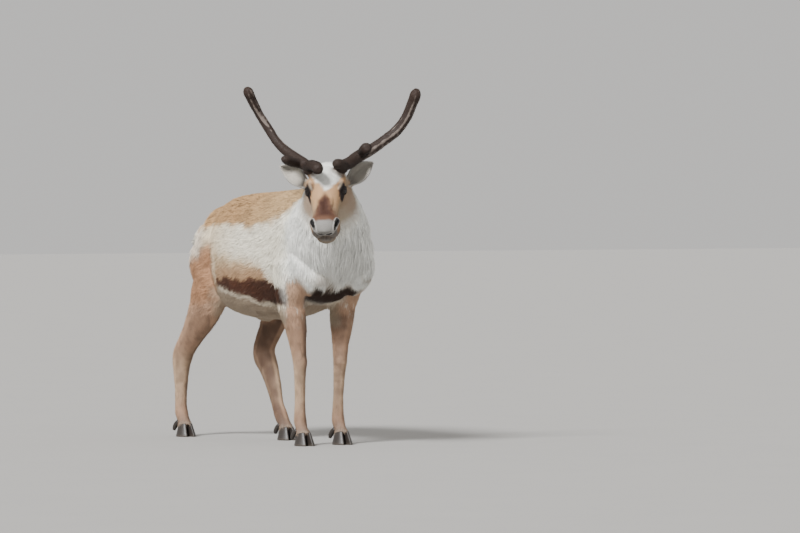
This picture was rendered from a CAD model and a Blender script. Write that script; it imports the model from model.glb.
"""A life-size reindeer bull in velvet antlers and spring moult: its skin, coat, eyes, hooves and stage.

Metres, +Z up. The animal faces -Y, +X is its left side, and the floor is at z = 0. Shapes are worked
out in the part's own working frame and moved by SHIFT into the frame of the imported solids.
"""

import math

import bmesh
import bpy
import numpy as np
from bpy.props import FloatProperty, FloatVectorProperty, IntProperty, PointerProperty
from mathutils import Matrix, Vector


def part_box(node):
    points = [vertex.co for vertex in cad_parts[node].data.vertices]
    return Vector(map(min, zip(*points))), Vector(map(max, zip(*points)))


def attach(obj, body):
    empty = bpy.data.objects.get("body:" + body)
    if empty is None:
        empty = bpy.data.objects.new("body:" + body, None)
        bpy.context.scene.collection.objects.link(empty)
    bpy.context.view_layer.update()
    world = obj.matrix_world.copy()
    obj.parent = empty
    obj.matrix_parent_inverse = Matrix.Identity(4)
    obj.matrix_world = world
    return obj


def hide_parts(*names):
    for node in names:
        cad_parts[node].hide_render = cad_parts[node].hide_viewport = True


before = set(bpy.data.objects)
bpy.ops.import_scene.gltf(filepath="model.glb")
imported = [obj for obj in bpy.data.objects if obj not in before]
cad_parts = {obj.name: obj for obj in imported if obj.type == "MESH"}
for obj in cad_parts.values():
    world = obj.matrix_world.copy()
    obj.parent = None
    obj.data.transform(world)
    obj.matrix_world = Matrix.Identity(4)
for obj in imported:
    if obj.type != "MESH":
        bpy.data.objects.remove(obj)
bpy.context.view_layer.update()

bl_info = {
    "name": "Reindeer in velvet",
    "version": (1, 0, 0),
    "blender": (4, 5, 0),
    "location": "View3D > Sidebar > Reindeer",
    "description": "Builds a life-size reindeer bull with its skin, coat, antlers, eyes, hooves and stage",
    "category": "Object",
}

LEFT, RIGHT = 1, -1
SIDES = {"left": LEFT, "right": RIGHT}

# The head's frame: origin midway between the eyes, x to the nose, y to its left, z out of the forehead
EYE_LINE = Vector((-0.163, -0.705, 1.024))
HEAD_YAW = math.radians(-29)
HEAD_PITCH = math.radians(43)
HEAD_ROLL = math.radians(-3)

EYE_RADIUS = 0.0185
EYE_PLACE = Vector((0.0, 0.064, 0.006))
EYE_LOOK = Vector((0.50, 0.84, 0.22)).normalized()
LID_OPENING = (0.0175, 0.0122, 0.0110)

# The trunk from rump to chest: y, top z, bottom z, half width, squareness
WITHERS = 1.035
TRUNK = [
    (0.570, 0.840, 0.765, 0.035, 2.0),
    (0.540, 0.922, 0.700, 0.092, 2.1),
    (0.462, 0.974, 0.630, 0.138, 2.2),
    (0.360, 0.998, 0.546, 0.168, 2.2),
    (0.240, 1.010, 0.512, 0.198, 2.4),
    (0.110, 1.018, 0.500, 0.217, 2.3),
    (-0.02, 1.022, 0.500, 0.216, 2.2),
    (-0.15, 1.030, 0.518, 0.203, 2.2),
    (-0.29, WITHERS, 0.550, 0.190, 2.2),
    (-0.40, 0.995, 0.578, 0.178, 2.2),
    (-0.49, 0.935, 0.630, 0.152, 2.1),
    (-0.560, 0.855, 0.690, 0.092, 2.0),
    (-0.585, 0.790, 0.745, 0.030, 2.0),
]
# The neck from the withers to the skull: centre, half width, depth above, depth below
NECK = [
    ((0.000, -0.300, 0.810), 0.160, 0.190, 0.190),
    ((-0.008, -0.385, 0.840), 0.172, 0.170, 0.205),
    ((-0.030, -0.470, 0.885), 0.158, 0.152, 0.200),
    ((-0.062, -0.545, 0.945), 0.126, 0.142, 0.172),
    ((-0.094, -0.605, 1.008), 0.097, 0.120, 0.128),
    ((-0.120, -0.652, 1.058), 0.078, 0.096, 0.084),
    ((-0.140, -0.686, 1.074), 0.062, 0.070, 0.070),
]
# A foreleg from shoulder to coronet: x out, y from the foot, z, half width, depth before, depth behind
FORELEG = [
    (0.112, 0.045, 0.860, 0.045, 0.070, 0.080),
    (0.128, 0.020, 0.760, 0.060, 0.105, 0.110),
    (0.134, 0.005, 0.660, 0.060, 0.092, 0.098),
    (0.126, 0.018, 0.570, 0.052, 0.062, 0.074),
    (0.113, 0.008, 0.480, 0.045, 0.051, 0.050),
    (0.105, 0.002, 0.400, 0.035, 0.036, 0.038),
    (0.100, -0.003, 0.335, 0.0295, 0.033, 0.030),
    (0.098, -0.001, 0.280, 0.026, 0.026, 0.029),
    (0.096, 0.002, 0.200, 0.023, 0.023, 0.027),
    (0.095, 0.004, 0.130, 0.025, 0.025, 0.030),
    (0.095, 0.002, 0.100, 0.028, 0.027, 0.033),
    (0.095, -0.012, 0.068, 0.026, 0.025, 0.029),
    (0.095, -0.026, 0.044, 0.031, 0.030, 0.032),
    (0.095, -0.036, 0.022, 0.031, 0.030, 0.032),
]
# A hind leg from haunch to coronet: x out, y from the hip, z, half width, depth before, depth behind
HAUNCH = [
    (0.066, 0.02, 0.835, 0.030, 0.060, 0.075),
    (0.110, 0.01, 0.780, 0.072, 0.145, 0.150),
]
BACK_HIND = [
    (0.128, -0.040, 0.680, 0.068, 0.125, 0.145),
    (0.131, 0.018, 0.590, 0.060, 0.118, 0.112),
    (0.130, 0.090, 0.510, 0.050, 0.092, 0.072),
    (0.127, 0.170, 0.440, 0.042, 0.070, 0.050),
    (0.124, 0.240, 0.382, 0.037, 0.062, 0.046),
    (0.122, 0.282, 0.330, 0.037, 0.063, 0.054),
    (0.121, 0.292, 0.275, 0.033, 0.050, 0.040),
    (0.121, 0.293, 0.200, 0.027, 0.035, 0.031),
    (0.121, 0.292, 0.130, 0.026, 0.029, 0.031),
    (0.120, 0.287, 0.100, 0.029, 0.029, 0.035),
    (0.119, 0.271, 0.068, 0.027, 0.026, 0.030),
    (0.119, 0.258, 0.044, 0.032, 0.031, 0.033),
    (0.119, 0.248, 0.022, 0.032, 0.031, 0.033),
]
FORWARD_HIND = [
    (0.128, -0.095, 0.680, 0.068, 0.118, 0.138),
    (0.133, -0.125, 0.600, 0.062, 0.100, 0.112),
    (0.128, -0.100, 0.525, 0.053, 0.080, 0.080),
    (0.122, -0.054, 0.455, 0.046, 0.070, 0.058),
    (0.118, -0.012, 0.398, 0.042, 0.067, 0.054),
    (0.116, -0.002, 0.348, 0.042, 0.068, 0.062),
    (0.114, -0.050, 0.292, 0.037, 0.057, 0.048),
    (0.108, -0.108, 0.220, 0.031, 0.042, 0.038),
    (0.100, -0.160, 0.148, 0.026, 0.029, 0.031),
    (0.097, -0.197, 0.104, 0.029, 0.029, 0.035),
    (0.096, -0.228, 0.070, 0.027, 0.026, 0.030),
    (0.096, -0.248, 0.044, 0.032, 0.031, 0.033),
    (0.096, -0.262, 0.022, 0.032, 0.031, 0.033),
]
FORE_FOOT_Y = {"left": -0.318, "right": -0.352}
HIP_Y = 0.395
HIND_CHAIN = {"left": FORWARD_HIND, "right": BACK_HIND}
# Every leg by name: its chain, the side it stands on, and the y that the chain counts from
LEGS = {}
for side_name, side_sign in SIDES.items():
    LEGS[f"foreleg_{side_name}"] = (FORELEG, side_sign, FORE_FOOT_Y[side_name])
    LEGS[f"hind_{side_name}"] = (HAUNCH + HIND_CHAIN[side_name], side_sign, HIP_Y)

# Bulging muscles: centre x out, y, z, half sizes, turn about X in degrees
MUSCLES = [
    ((0.118, -0.300, 0.800), (0.070, 0.105, 0.150), 14),
    ((0.092, -0.420, 0.750), (0.088, 0.115, 0.150), -20),
    ((0.118, 0.345, 0.760), (0.078, 0.140, 0.160), 8),
    ((0.085, 0.470, 0.770), (0.065, 0.080, 0.130), -6),
]
SHEATH = ((0.0, 0.165, 0.508), (0.024, 0.080, 0.018), 6)
# Bone and tendon that show on the legs: leg kind, x out, y from the chain's zero, z, half sizes, turn about X
JOINT_FORMS = [
    ("foreleg", (0.128, 0.085, 0.590), (0.026, 0.034, 0.048), 18),
    ("foreleg", (0.099, -0.020, 0.338), (0.026, 0.018, 0.040), 0),
    ("foreleg", (0.096, 0.024, 0.200), (0.013, 0.012, 0.085), 0),
]

# The skull and upper jaw along the head's x: x, top z, bottom z, half width, squareness
UPPER_HEAD = [
    (-0.168, -0.018, -0.052, 0.030, 2.0),
    (-0.156, 0.004, -0.080, 0.052, 2.1),
    (-0.126, 0.033, -0.095, 0.066, 2.2),
    (-0.080, 0.049, -0.090, 0.071, 2.3),
    (-0.030, 0.055, -0.082, 0.074, 2.4),
    (0.010, 0.052, -0.074, 0.069, 2.4),
    (0.050, 0.043, -0.066, 0.060, 2.4),
    (0.090, 0.037, -0.060, 0.054, 2.4),
    (0.130, 0.035, -0.060, 0.052, 2.5),
    (0.165, 0.037, -0.064, 0.057, 2.6),
    (0.190, 0.034, -0.065, 0.058, 2.5),
    (0.208, 0.020, -0.061, 0.050, 2.3),
    (0.217, -0.002, -0.050, 0.028, 2.0),
]
LOWER_JAW = [
    (-0.120, -0.040, -0.100, 0.035, 2.0),
    (-0.095, -0.030, -0.126, 0.047, 2.1),
    (-0.050, -0.036, -0.134, 0.051, 2.1),
    (0.000, -0.040, -0.124, 0.046, 2.1),
    (0.050, -0.044, -0.110, 0.040, 2.1),
    (0.100, -0.046, -0.099, 0.036, 2.1),
    (0.140, -0.052, -0.100, 0.039, 2.2),
    (0.172, -0.054, -0.103, 0.040, 2.2),
    (0.190, -0.060, -0.099, 0.033, 2.1),
    (0.203, -0.068, -0.090, 0.015, 2.0),
]
# Soft forms of one side of the face: centre, half sizes, turn about the head's z in degrees
FACE_FORMS = {
    "cheek": ((-0.045, 0.042, -0.070), (0.062, 0.026, 0.052), 0),
    "brow": ((-0.012, 0.058, 0.024), (0.040, 0.018, 0.017), -12),
    "cheekbone": ((0.030, 0.052, -0.020), (0.050, 0.017, 0.014), -16),
    "nostril_wing": ((0.183, 0.040, 0.002), (0.028, 0.021, 0.025), -28),
    "upper_lip": ((0.168, 0.034, -0.046), (0.042, 0.025, 0.021), -10),
    "ear_root": ((-0.082, 0.069, -0.036), (0.026, 0.026, 0.030), 0),
}
# Finer folds of the face: centre, half sizes, turn about the head's z in degrees
FACE_FOLDS = {
    "tear_ridge": ((0.036, 0.056, 0.010), (0.030, 0.007, 0.006), -14),
    "jaw_muscle": ((-0.075, 0.050, -0.045), (0.034, 0.022, 0.045), 0),
    "nose_bridge": ((0.090, 0.016, 0.026), (0.085, 0.020, 0.014), -4),
    "lower_lip": ((0.176, 0.018, -0.080), (0.020, 0.018, 0.012), -10),
}
# The mouth's line round the muzzle, from corner to corner
MOUTH_LINE = [
    (0.098, 0.039, -0.060),
    (0.125, 0.042, -0.063),
    (0.155, 0.045, -0.066),
    (0.180, 0.042, -0.068),
    (0.200, 0.027, -0.067),
    (0.210, 0.000, -0.066),
]
# The nostril's hollow, a comma from its upper inner end: x, y, z, radius
NOSTRIL = [
    (0.214, 0.013, -0.024, 0.0035),
    (0.216, 0.018, -0.016, 0.0072),
    (0.213, 0.027, -0.005, 0.0100),
    (0.206, 0.037, 0.007, 0.0098),
    (0.196, 0.046, 0.016, 0.0066),
    (0.185, 0.053, 0.020, 0.0030),
]
NOSTRIL_FLARE = 1.25

EAR_ROOT = Vector((-0.090, 0.090, -0.034))
EAR_LIE = Vector((-0.50, 0.80, 0.39)).normalized()
EAR_MOUTH = Vector((0.74, 0.26, 0.60)).normalized()
EAR_LENGTH = 0.122
EAR_WALL = 0.0042
EAR_BULGE = 0.016
EAR_SINK = 0.004
# The ear's trough from base to tip: share of the length, radius, half angle of the arc in degrees
EAR_ARCS = [
    (0.00, 0.0175, 165),
    (0.12, 0.0205, 128),
    (0.28, 0.0290, 98),
    (0.48, 0.0355, 80),
    (0.68, 0.0325, 72),
    (0.85, 0.0220, 66),
    (1.00, 0.0070, 60),
]

PEDICLE = Vector((-0.080, 0.058, 0.048))
PEDICLE_LIE = Vector((-0.52, 0.55, 0.66)).normalized()
PEDICLE_STATIONS = [(-0.035, 0.030), (-0.012, 0.026), (0.020, 0.025)]
BURR = [(-0.006, 0.026), (0.004, 0.0295), (0.010, 0.0295), (0.020, 0.023)]
# Each antler: beam points with radius, then each tine
ANTLERS = {
    "right": {
        "beam": [
            ((-0.215, -0.633, 1.120), 0.0235),
            ((-0.222, -0.598, 1.146), 0.0230),
            ((-0.237, -0.536, 1.176), 0.0205),
            ((-0.260, -0.479, 1.217), 0.0185),
            ((-0.287, -0.442, 1.278), 0.0180),
            ((-0.321, -0.430, 1.334), 0.0180),
            ((-0.359, -0.443, 1.390), 0.0195),
            ((-0.382, -0.454, 1.422), 0.0205),
            ((-0.394, -0.461, 1.438), 0.0115),
        ],
        "brow_tine": [
            ((-0.216, -0.640, 1.122), 0.0200),
            ((-0.224, -0.696, 1.130), 0.0225),
            ((-0.230, -0.749, 1.124), 0.0240),
            ((-0.237, -0.779, 1.116), 0.0215),
            ((-0.241, -0.791, 1.113), 0.0110),
        ],
        "bez_tine": [
            ((-0.222, -0.604, 1.138), 0.0185),
            ((-0.266, -0.622, 1.143), 0.0190),
            ((-0.309, -0.646, 1.152), 0.0185),
            ((-0.330, -0.653, 1.159), 0.0100),
        ],
    },
    "left": {
        "beam": [
            ((-0.078, -0.706, 1.120), 0.0235),
            ((-0.051, -0.698, 1.142), 0.0240),
            ((-0.006, -0.688, 1.168), 0.0245),
            ((0.045, -0.687, 1.190), 0.0225),
            ((0.100, -0.693, 1.226), 0.0215),
            ((0.150, -0.708, 1.266), 0.0215),
            ((0.182, -0.731, 1.316), 0.0215),
            ((0.196, -0.761, 1.376), 0.0215),
            ((0.199, -0.785, 1.414), 0.0215),
            ((0.199, -0.797, 1.433), 0.0115),
        ],
        "brow_tine": [
            ((-0.082, -0.715, 1.124), 0.0195),
            ((-0.112, -0.741, 1.134), 0.0205),
            ((-0.140, -0.756, 1.137), 0.0195),
            ((-0.156, -0.763, 1.138), 0.0105),
        ],
        "bez_tine": [
            ((0.002, -0.692, 1.176), 0.0190),
            ((-0.011, -0.742, 1.190), 0.0210),
            ((-0.026, -0.790, 1.199), 0.0222),
            ((-0.031, -0.805, 1.201), 0.0130),
        ],
    },
}

# Claws of one foot and the two dewclaws behind them
CLAW_LENGTH = 0.088
CLAW_WIDTH = 0.040
CLAW_SPREAD = 7
CORONET_HEIGHT = 0.045
CORONET_SLOPE = -0.22
CORONET_SCALE = 0.74
FOOT_REACH = 0.012
DEWCLAW = [
    ((0.020, 0.018, 0.064), 0.0085),
    ((0.023, 0.034, 0.052), 0.0105),
    ((0.026, 0.044, 0.038), 0.0095),
    ((0.027, 0.049, 0.026), 0.0060),
]

TAIL = [
    ((0.000, 0.505, 0.905), 0.036, 0.030, 0.030),
    ((-0.006, 0.560, 0.895), 0.034, 0.027, 0.027),
    ((-0.022, 0.612, 0.868), 0.036, 0.028, 0.028),
    ((-0.040, 0.655, 0.838), 0.028, 0.022, 0.024),
    ((-0.052, 0.680, 0.815), 0.012, 0.010, 0.012),
]

# Where the neck leaves the trunk: a point and the way it faces
NECK_CUT = (Vector((0.0, -0.420, 0.820)), Vector((-0.06, -0.92, 0.39)).normalized())


# Long folds of the face: points in the head's frame, width, and how far the surface moves out
FOLDS = [
    ([(0.019, 0.061, -0.006), (0.034, 0.058, -0.016), (0.050, 0.053, -0.022)], 0.0035, -0.0028),
    ([(-0.022, 0.064, 0.014), (-0.008, 0.070, 0.026), (0.012, 0.064, 0.024), (0.024, 0.056, 0.012)], 0.0030, 0.0022),
    ([(-0.026, 0.062, 0.018), (-0.008, 0.066, 0.033), (0.016, 0.059, 0.030)], 0.0028, -0.0020),
    ([(-0.020, 0.070, -0.012), (0.000, 0.071, -0.020), (0.018, 0.063, -0.016)], 0.0028, 0.0016),
    ([(-0.024, 0.068, -0.020), (-0.002, 0.069, -0.028), (0.020, 0.061, -0.024)], 0.0030, -0.0016),
    ([(0.214, 0.010, -0.030), (0.219, 0.012, -0.012), (0.214, 0.026, 0.008), (0.200, 0.044, 0.022), (0.184, 0.056, 0.022)], 0.0030, 0.0018),
    ([(0.174, 0.056, 0.000), (0.160, 0.054, 0.010), (0.140, 0.046, 0.020)], 0.0060, -0.0022),
    ([(0.217, 0.000, -0.020), (0.218, 0.000, -0.040), (0.212, 0.000, -0.060)], 0.0024, -0.0022),
    ([(0.100, 0.046, -0.060), (0.140, 0.051, -0.058), (0.175, 0.050, -0.058), (0.200, 0.036, -0.058)], 0.0050, 0.0016),
    ([(0.060, 0.030, 0.040), (0.100, 0.024, 0.038), (0.150, 0.024, 0.037)], 0.0070, 0.0012),
]

HEAD_VOXEL = 0.0018
BODY_VOXEL = 0.005
WORKSHOP = None


def head_frame():
    """The matrix from the head's frame to the part's."""
    heading = Vector((math.sin(HEAD_YAW), -math.cos(HEAD_YAW), 0))
    nose = heading * math.cos(HEAD_PITCH) - Vector((0, 0, math.sin(HEAD_PITCH)))
    left = Vector((0, 0, 1)).cross(heading).normalized()
    left = Matrix.Rotation(-HEAD_ROLL, 3, nose) @ left
    crown = nose.cross(left)
    turn = Matrix((nose, left, crown)).transposed().to_4x4()
    return Matrix.Translation(EYE_LINE) @ turn


HEAD = head_frame()


def on_head(x, y, z, side=LEFT):
    """A point of the head's frame, on the left or mirrored to the right, in the part's frame."""
    return HEAD @ Vector((x, y * side, z))


def head_way(way, side=LEFT):
    """A direction of the head's frame in the part's frame."""
    return (HEAD.to_3x3() @ Vector((way[0], way[1] * side, way[2]))).normalized()


SHIFT = sum(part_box("eye_left"), Vector()) / 2 - on_head(*EYE_PLACE)
HEAD_CUT = (-0.135, Vector((0.75, 0.0, 0.66)))
TAIL_CUT = (Vector((-0.008, 0.576, 0.892)), Vector((-0.10, 0.90, 0.30)).normalized())
HEAD_PLANE = (EYE_LINE + head_way(HEAD_CUT[1]) * HEAD_CUT[0], head_way(HEAD_CUT[1]))


def new_object(name, mesh):
    obj = bpy.data.objects.new(name, mesh)
    bpy.context.scene.collection.objects.link(obj)
    return obj


def settled(obj):
    """Applies an object's modifiers and its place to its mesh."""
    graph = bpy.context.evaluated_depsgraph_get()
    mesh = bpy.data.meshes.new_from_object(obj.evaluated_get(graph))
    mesh.transform(obj.matrix_world)
    obj.modifiers.clear()
    obj.data = mesh
    obj.matrix_world = Matrix.Identity(4)
    return obj


def curve_through(rows, count):
    """Rows of numbers read at evenly spaced places along a Catmull-Rom curve through them."""
    rows = np.array(rows, float)
    padded = np.vstack([2 * rows[0] - rows[1], rows, 2 * rows[-1] - rows[-2]])
    places = np.linspace(0, len(rows) - 1, count)
    start = np.minimum(places.astype(int), len(rows) - 2)
    t = (places - start)[:, None]
    a, b, c, d = (padded[start + k] for k in range(4))
    return 0.5 * (
        2 * b + (c - a) * t + (2 * a - 5 * b + 4 * c - d) * t**2 + (3 * b - a - 3 * c + d) * t**3
    )


def section(width, ahead, behind, squareness, sides):
    """Points round a superellipse: (across, along the front) pairs, flatter at the corners when squarer."""
    angles = np.arange(sides) * 2 * math.pi / sides
    power = 2 / squareness
    across = np.sign(np.cos(angles)) * np.abs(np.cos(angles)) ** power * width
    depth = np.where(np.sin(angles) > 0, ahead, behind)
    along = np.sign(np.sin(angles)) * np.abs(np.sin(angles)) ** power * depth
    return across, along


def loft(name, stations, front, sides=24, rings=40, place=None):
    """A closed form through stations of centre, half width, depth ahead, depth behind and squareness."""
    rows = [(*s[0], *s[1:4], s[4] if len(s) > 4 else 2.0) for s in stations]
    rows = curve_through(rows, rings)
    centres = rows[:, :3]
    tangents = np.gradient(centres, axis=0)
    mesh = bmesh.new()
    loops = []
    for centre, tangent, (width, ahead, behind, squareness) in zip(centres, tangents, rows[:, 3:]):
        along = Vector(tangent).normalized()
        up = (Vector(front) - along * along.dot(Vector(front))).normalized()
        out = up.cross(along)
        across, ahead_of = section(width, ahead, behind, squareness, sides)
        loops.append(
            [mesh.verts.new(Vector(centre) + out * a + up * b) for a, b in zip(across, ahead_of)]
        )
    for first, second in zip(loops, loops[1:]):
        for i in range(sides):
            j = (i + 1) % sides
            mesh.faces.new((first[i], first[j], second[j], second[i]))
    mesh.faces.new(reversed(loops[0]))
    mesh.faces.new(loops[-1])
    bmesh.ops.recalc_face_normals(mesh, faces=mesh.faces)
    if place is not None:
        mesh.transform(place)
    data = bpy.data.meshes.new(name)
    mesh.to_mesh(data)
    mesh.free()
    return new_object(name, data)


def ellipsoid(name, centre, half_sizes, turn=None, segments=24):
    """A sphere drawn out to three half sizes."""
    mesh = bmesh.new()
    bmesh.ops.create_uvsphere(mesh, u_segments=segments, v_segments=segments // 2, radius=1)
    mesh.transform(Matrix.Diagonal((*half_sizes, 1)))
    if turn is not None:
        mesh.transform(turn)
    mesh.transform(Matrix.Translation(centre))
    data = bpy.data.meshes.new(name)
    mesh.to_mesh(data)
    mesh.free()
    return new_object(name, data)


def islands(mesh):
    """The groups of linked vertices of a bmesh."""
    left = set(mesh.verts)
    found = []
    while left:
        edge = [left.pop()]
        group = set(edge)
        while edge:
            vertex = edge.pop()
            for link in vertex.link_edges:
                other = link.other_vert(vertex)
                if other in left:
                    left.discard(other)
                    group.add(other)
                    edge.append(other)
        found.append(group)
    return sorted(found, key=len, reverse=True)


def keep_largest(obj):
    """Leaves only the largest closed surface of an object."""
    mesh = bmesh.new()
    mesh.from_mesh(obj.data)
    for group in islands(mesh)[1:]:
        bmesh.ops.delete(mesh, geom=list(group), context="VERTS")
    mesh.to_mesh(obj.data)
    mesh.free()
    return obj


def joined(name, forms):
    """One object that holds every form's faces."""
    mesh = bmesh.new()
    for form in forms:
        mesh.from_mesh(form.data)
        bpy.data.objects.remove(form)
    data = bpy.data.meshes.new(name)
    mesh.to_mesh(data)
    mesh.free()
    return new_object(name, data)


def fused(name, forms, voxel, smoothing, triangles):
    """The forms grown together into one skin, softened, and thinned to about a number of triangles."""
    whole = joined(name, forms)
    remesh = whole.modifiers.new("one_skin", "REMESH")
    remesh.mode = "VOXEL"
    remesh.voxel_size = voxel
    soften = whole.modifiers.new("soften", "SMOOTH")
    soften.factor = 0.5
    soften.iterations = smoothing
    settled(whole)
    keep_largest(whole)
    thin = whole.modifiers.new("thin", "DECIMATE")
    thin.ratio = triangles / (2 * len(whole.data.polygons))
    return keep_largest(settled(whole))


def boolean(obj, other, operation, solver="EXACT"):
    """Cuts or joins one object by another, and removes the other."""
    step = obj.modifiers.new(operation.lower(), "BOOLEAN")
    step.operation = operation
    step.solver = solver
    step.object = other
    settled(obj)
    bpy.data.objects.remove(other)
    return obj


def block(name, centre, sizes, facing):
    """A box whose own z points along facing."""
    mesh = bmesh.new()
    bmesh.ops.create_cube(mesh, size=1)
    mesh.transform(Matrix.Diagonal((*sizes, 1)))
    mesh.transform(Vector(facing).to_track_quat("Z", "Y").to_matrix().to_4x4())
    mesh.transform(Matrix.Translation(centre))
    data = bpy.data.meshes.new(name)
    mesh.to_mesh(data)
    mesh.free()
    return new_object(name, data)


def trunk_form():
    stations = [
        ((0, y, (top + bottom) / 2), width, (top - bottom) / 2, (top - bottom) / 2, square)
        for y, top, bottom, width, square in TRUNK
    ]
    return loft("trunk", stations, (0, 0, 1), sides=32, rings=60)


def neck_form():
    return loft("neck_form", NECK, (0, 0.35, 1), sides=28, rings=32)


def leg_stations(chain, side, y_zero):
    return [
        ((x * side, y + y_zero, z), width, ahead, behind)
        for x, y, z, width, ahead, behind in chain
    ]


def leg_form(name, chain, side, y_zero):
    return loft(name, leg_stations(chain, side, y_zero), (0, -1, 0.25), sides=20, rings=64)


def muscle_forms():
    forms = []
    for number, (centre, half_sizes, turn) in enumerate(MUSCLES):
        for side in SIDES.values():
            spot = (centre[0] * side, centre[1], centre[2])
            rotation = Matrix.Rotation(math.radians(turn), 4, "X")
            forms.append(ellipsoid(f"muscle_{number}", spot, half_sizes, rotation))
    centre, half_sizes, turn = SHEATH
    forms.append(ellipsoid("sheath", centre, half_sizes, Matrix.Rotation(math.radians(turn), 4, "X")))
    return forms


def head_stations(rows):
    return [
        ((x, 0, (top + bottom) / 2), width, (top - bottom) / 2, (top - bottom) / 2, square)
        for x, top, bottom, width, square in rows
    ]


def pedicle_form(side):
    """The furred stump that the antler stands on."""
    way = head_way(PEDICLE_LIE, side)
    top = on_head(*PEDICLE, side)
    stations = [(top + way * reach, radius, radius, radius) for reach, radius in PEDICLE_STATIONS]
    return loft("pedicle", stations, head_way((1, 0, 0)), sides=16, rings=8)


def lid_opening(side):
    """The almond that the lids leave open."""
    look = head_way(EYE_LOOK, side)
    along = head_way((0.90, -0.42, -0.10), side)
    along = (along - look * along.dot(look)).normalized()
    turn = Matrix((along, look.cross(along), look)).transposed().to_4x4()
    centre = on_head(*EYE_PLACE, side) + look * EYE_RADIUS
    return ellipsoid("lid_opening", centre, LID_OPENING, turn, segments=20)


def tube(name, points, sides=12, rings=20, grow=0.0):
    """A round form through points with radii."""
    stations = [(Vector(p), r + grow, r + grow, r + grow) for p, r in points]
    return loft(name, stations, (0.2, -0.9, 0.3), sides=sides, rings=rings)


def coronet_plane(foot):
    """A point and the downward way of the plane where hair meets horn."""
    slope = math.atan(CORONET_SLOPE)
    return Vector((foot[0], foot[1], CORONET_HEIGHT)), Vector((0, math.sin(slope), -math.cos(slope)))


def chain_at(chain, level):
    """Where a leg's centre line passes a height."""
    for first, second in zip(chain, chain[1:]):
        if first[2] >= level >= second[2]:
            t = (first[2] - level) / (first[2] - second[2])
            return (first[0] + (second[0] - first[0]) * t, first[1] + (second[1] - first[1]) * t)
    raise ValueError(f"no part of the leg at {level}")


def foot_centre(chain, side, y_zero):
    x, y = chain_at(chain, CORONET_HEIGHT)
    return Vector((x * side, y + y_zero, 0))


def skull_forms(segments=24):
    """The upper head, the lower jaw and the soft forms of the face, in place."""
    forms = [
        loft("upper_head", head_stations(UPPER_HEAD), (0, 0, 1), sides=48, rings=90, place=HEAD),
        loft("lower_jaw", head_stations(LOWER_JAW), (0, 0, 1), sides=36, rings=60, place=HEAD),
    ]
    turn_of_head = HEAD.to_3x3().to_4x4()
    for name, (centre, half_sizes, turn) in {**FACE_FORMS, **FACE_FOLDS}.items():
        for side in SIDES.values():
            rotation = turn_of_head @ Matrix.Rotation(math.radians(turn * side), 4, "Z")
            forms.append(ellipsoid(name, on_head(*centre, side), half_sizes, rotation, segments))
    for side in SIDES.values():
        mound = EYE_RADIUS + 0.003
        forms.append(ellipsoid("eye_mound", on_head(*EYE_PLACE, side), (mound,) * 3, None, 40))
        forms.append(pedicle_form(side))
    return forms


def body_skin():
    """Trunk, neck, tail and legs grown together, open to nothing, ending at the head's plane."""
    forms = [trunk_form(), neck_form(), *muscle_forms(), *skull_forms()]
    forms.append(loft("tail_form", TAIL, (0, 0, 1), sides=16, rings=20))
    for name, (chain, side, y_zero) in LEGS.items():
        forms.append(leg_form(name, chain, side, y_zero))
        for kind, (x, y, z), half_sizes, turn in JOINT_FORMS:
            if name.startswith(kind):
                spot = (x * side, y + y_zero, z)
                rotation = Matrix.Rotation(math.radians(turn), 4, "X")
                forms.append(ellipsoid("joint_form", spot, half_sizes, rotation))
    whole = fused("skin", forms, BODY_VOXEL, 12, 96000)
    ahead = block("ahead", HEAD_PLANE[0] + HEAD_PLANE[1] * 0.602, (1.2, 1.2, 1.2), HEAD_PLANE[1])
    boolean(whole, ahead, "DIFFERENCE", "MANIFOLD")
    for chain, side, y_zero in LEGS.values():
        centre, way = coronet_plane(foot_centre(chain, side, y_zero))
        below = block("below_coronet", centre + way * 0.049, (0.11, 0.11, 0.10), way)
        boolean(whole, below, "DIFFERENCE", "MANIFOLD")
    return keep_largest(whole)


def head_skin():
    """The head in fine detail, with sockets, nostrils and mouth cut, ending just behind its plane."""
    head = fused("head_skin", [*skull_forms(32), neck_form()], HEAD_VOXEL, 4, 84000)
    back = HEAD_PLANE[0] - HEAD_PLANE[1] * 0.602
    boolean(head, block("behind", back, (1.2, 1.2, 1.2), HEAD_PLANE[1]), "DIFFERENCE", "MANIFOLD")
    stations = [((x, y, z), 0.010, 0.0026, 0.0026) for x, y, z in MOUTH_LINE]
    stations += [((x, -y, z), 0.010, 0.0026, 0.0026) for x, y, z in reversed(MOUTH_LINE[:-1])]
    mouth = loft("mouth_cut", stations, (0, 0, 1), sides=12, rings=60, place=HEAD)
    boolean(head, mouth, "DIFFERENCE", "MANIFOLD")
    for side in SIDES.values():
        radius = EYE_RADIUS + 0.0003
        socket = ellipsoid("socket", on_head(*EYE_PLACE, side), (radius,) * 3, segments=48)
        boolean(head, socket, "DIFFERENCE", "MANIFOLD")
        boolean(head, lid_opening(side), "DIFFERENCE", "MANIFOLD")
        stations = [(on_head(x, y, z, side), r, r * NOSTRIL_FLARE, r) for x, y, z, r in NOSTRIL]
        nostril = loft("nostril", stations, head_way((0.6, 0.8, 0), side), sides=24, rings=24)
        boolean(head, nostril, "DIFFERENCE", "MANIFOLD")
    return keep_largest(head)


def arrays_of(mesh):
    """A mesh's vertex places and its triangles, as arrays."""
    mesh.calc_loop_triangles()
    spots = np.empty(len(mesh.vertices) * 3, np.float32)
    mesh.vertices.foreach_get("co", spots)
    faces = np.empty(len(mesh.loop_triangles) * 3, np.int32)
    mesh.loop_triangles.foreach_get("vertices", faces)
    return spots.reshape(-1, 3).astype(float), faces.reshape(-1, 3)


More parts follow.
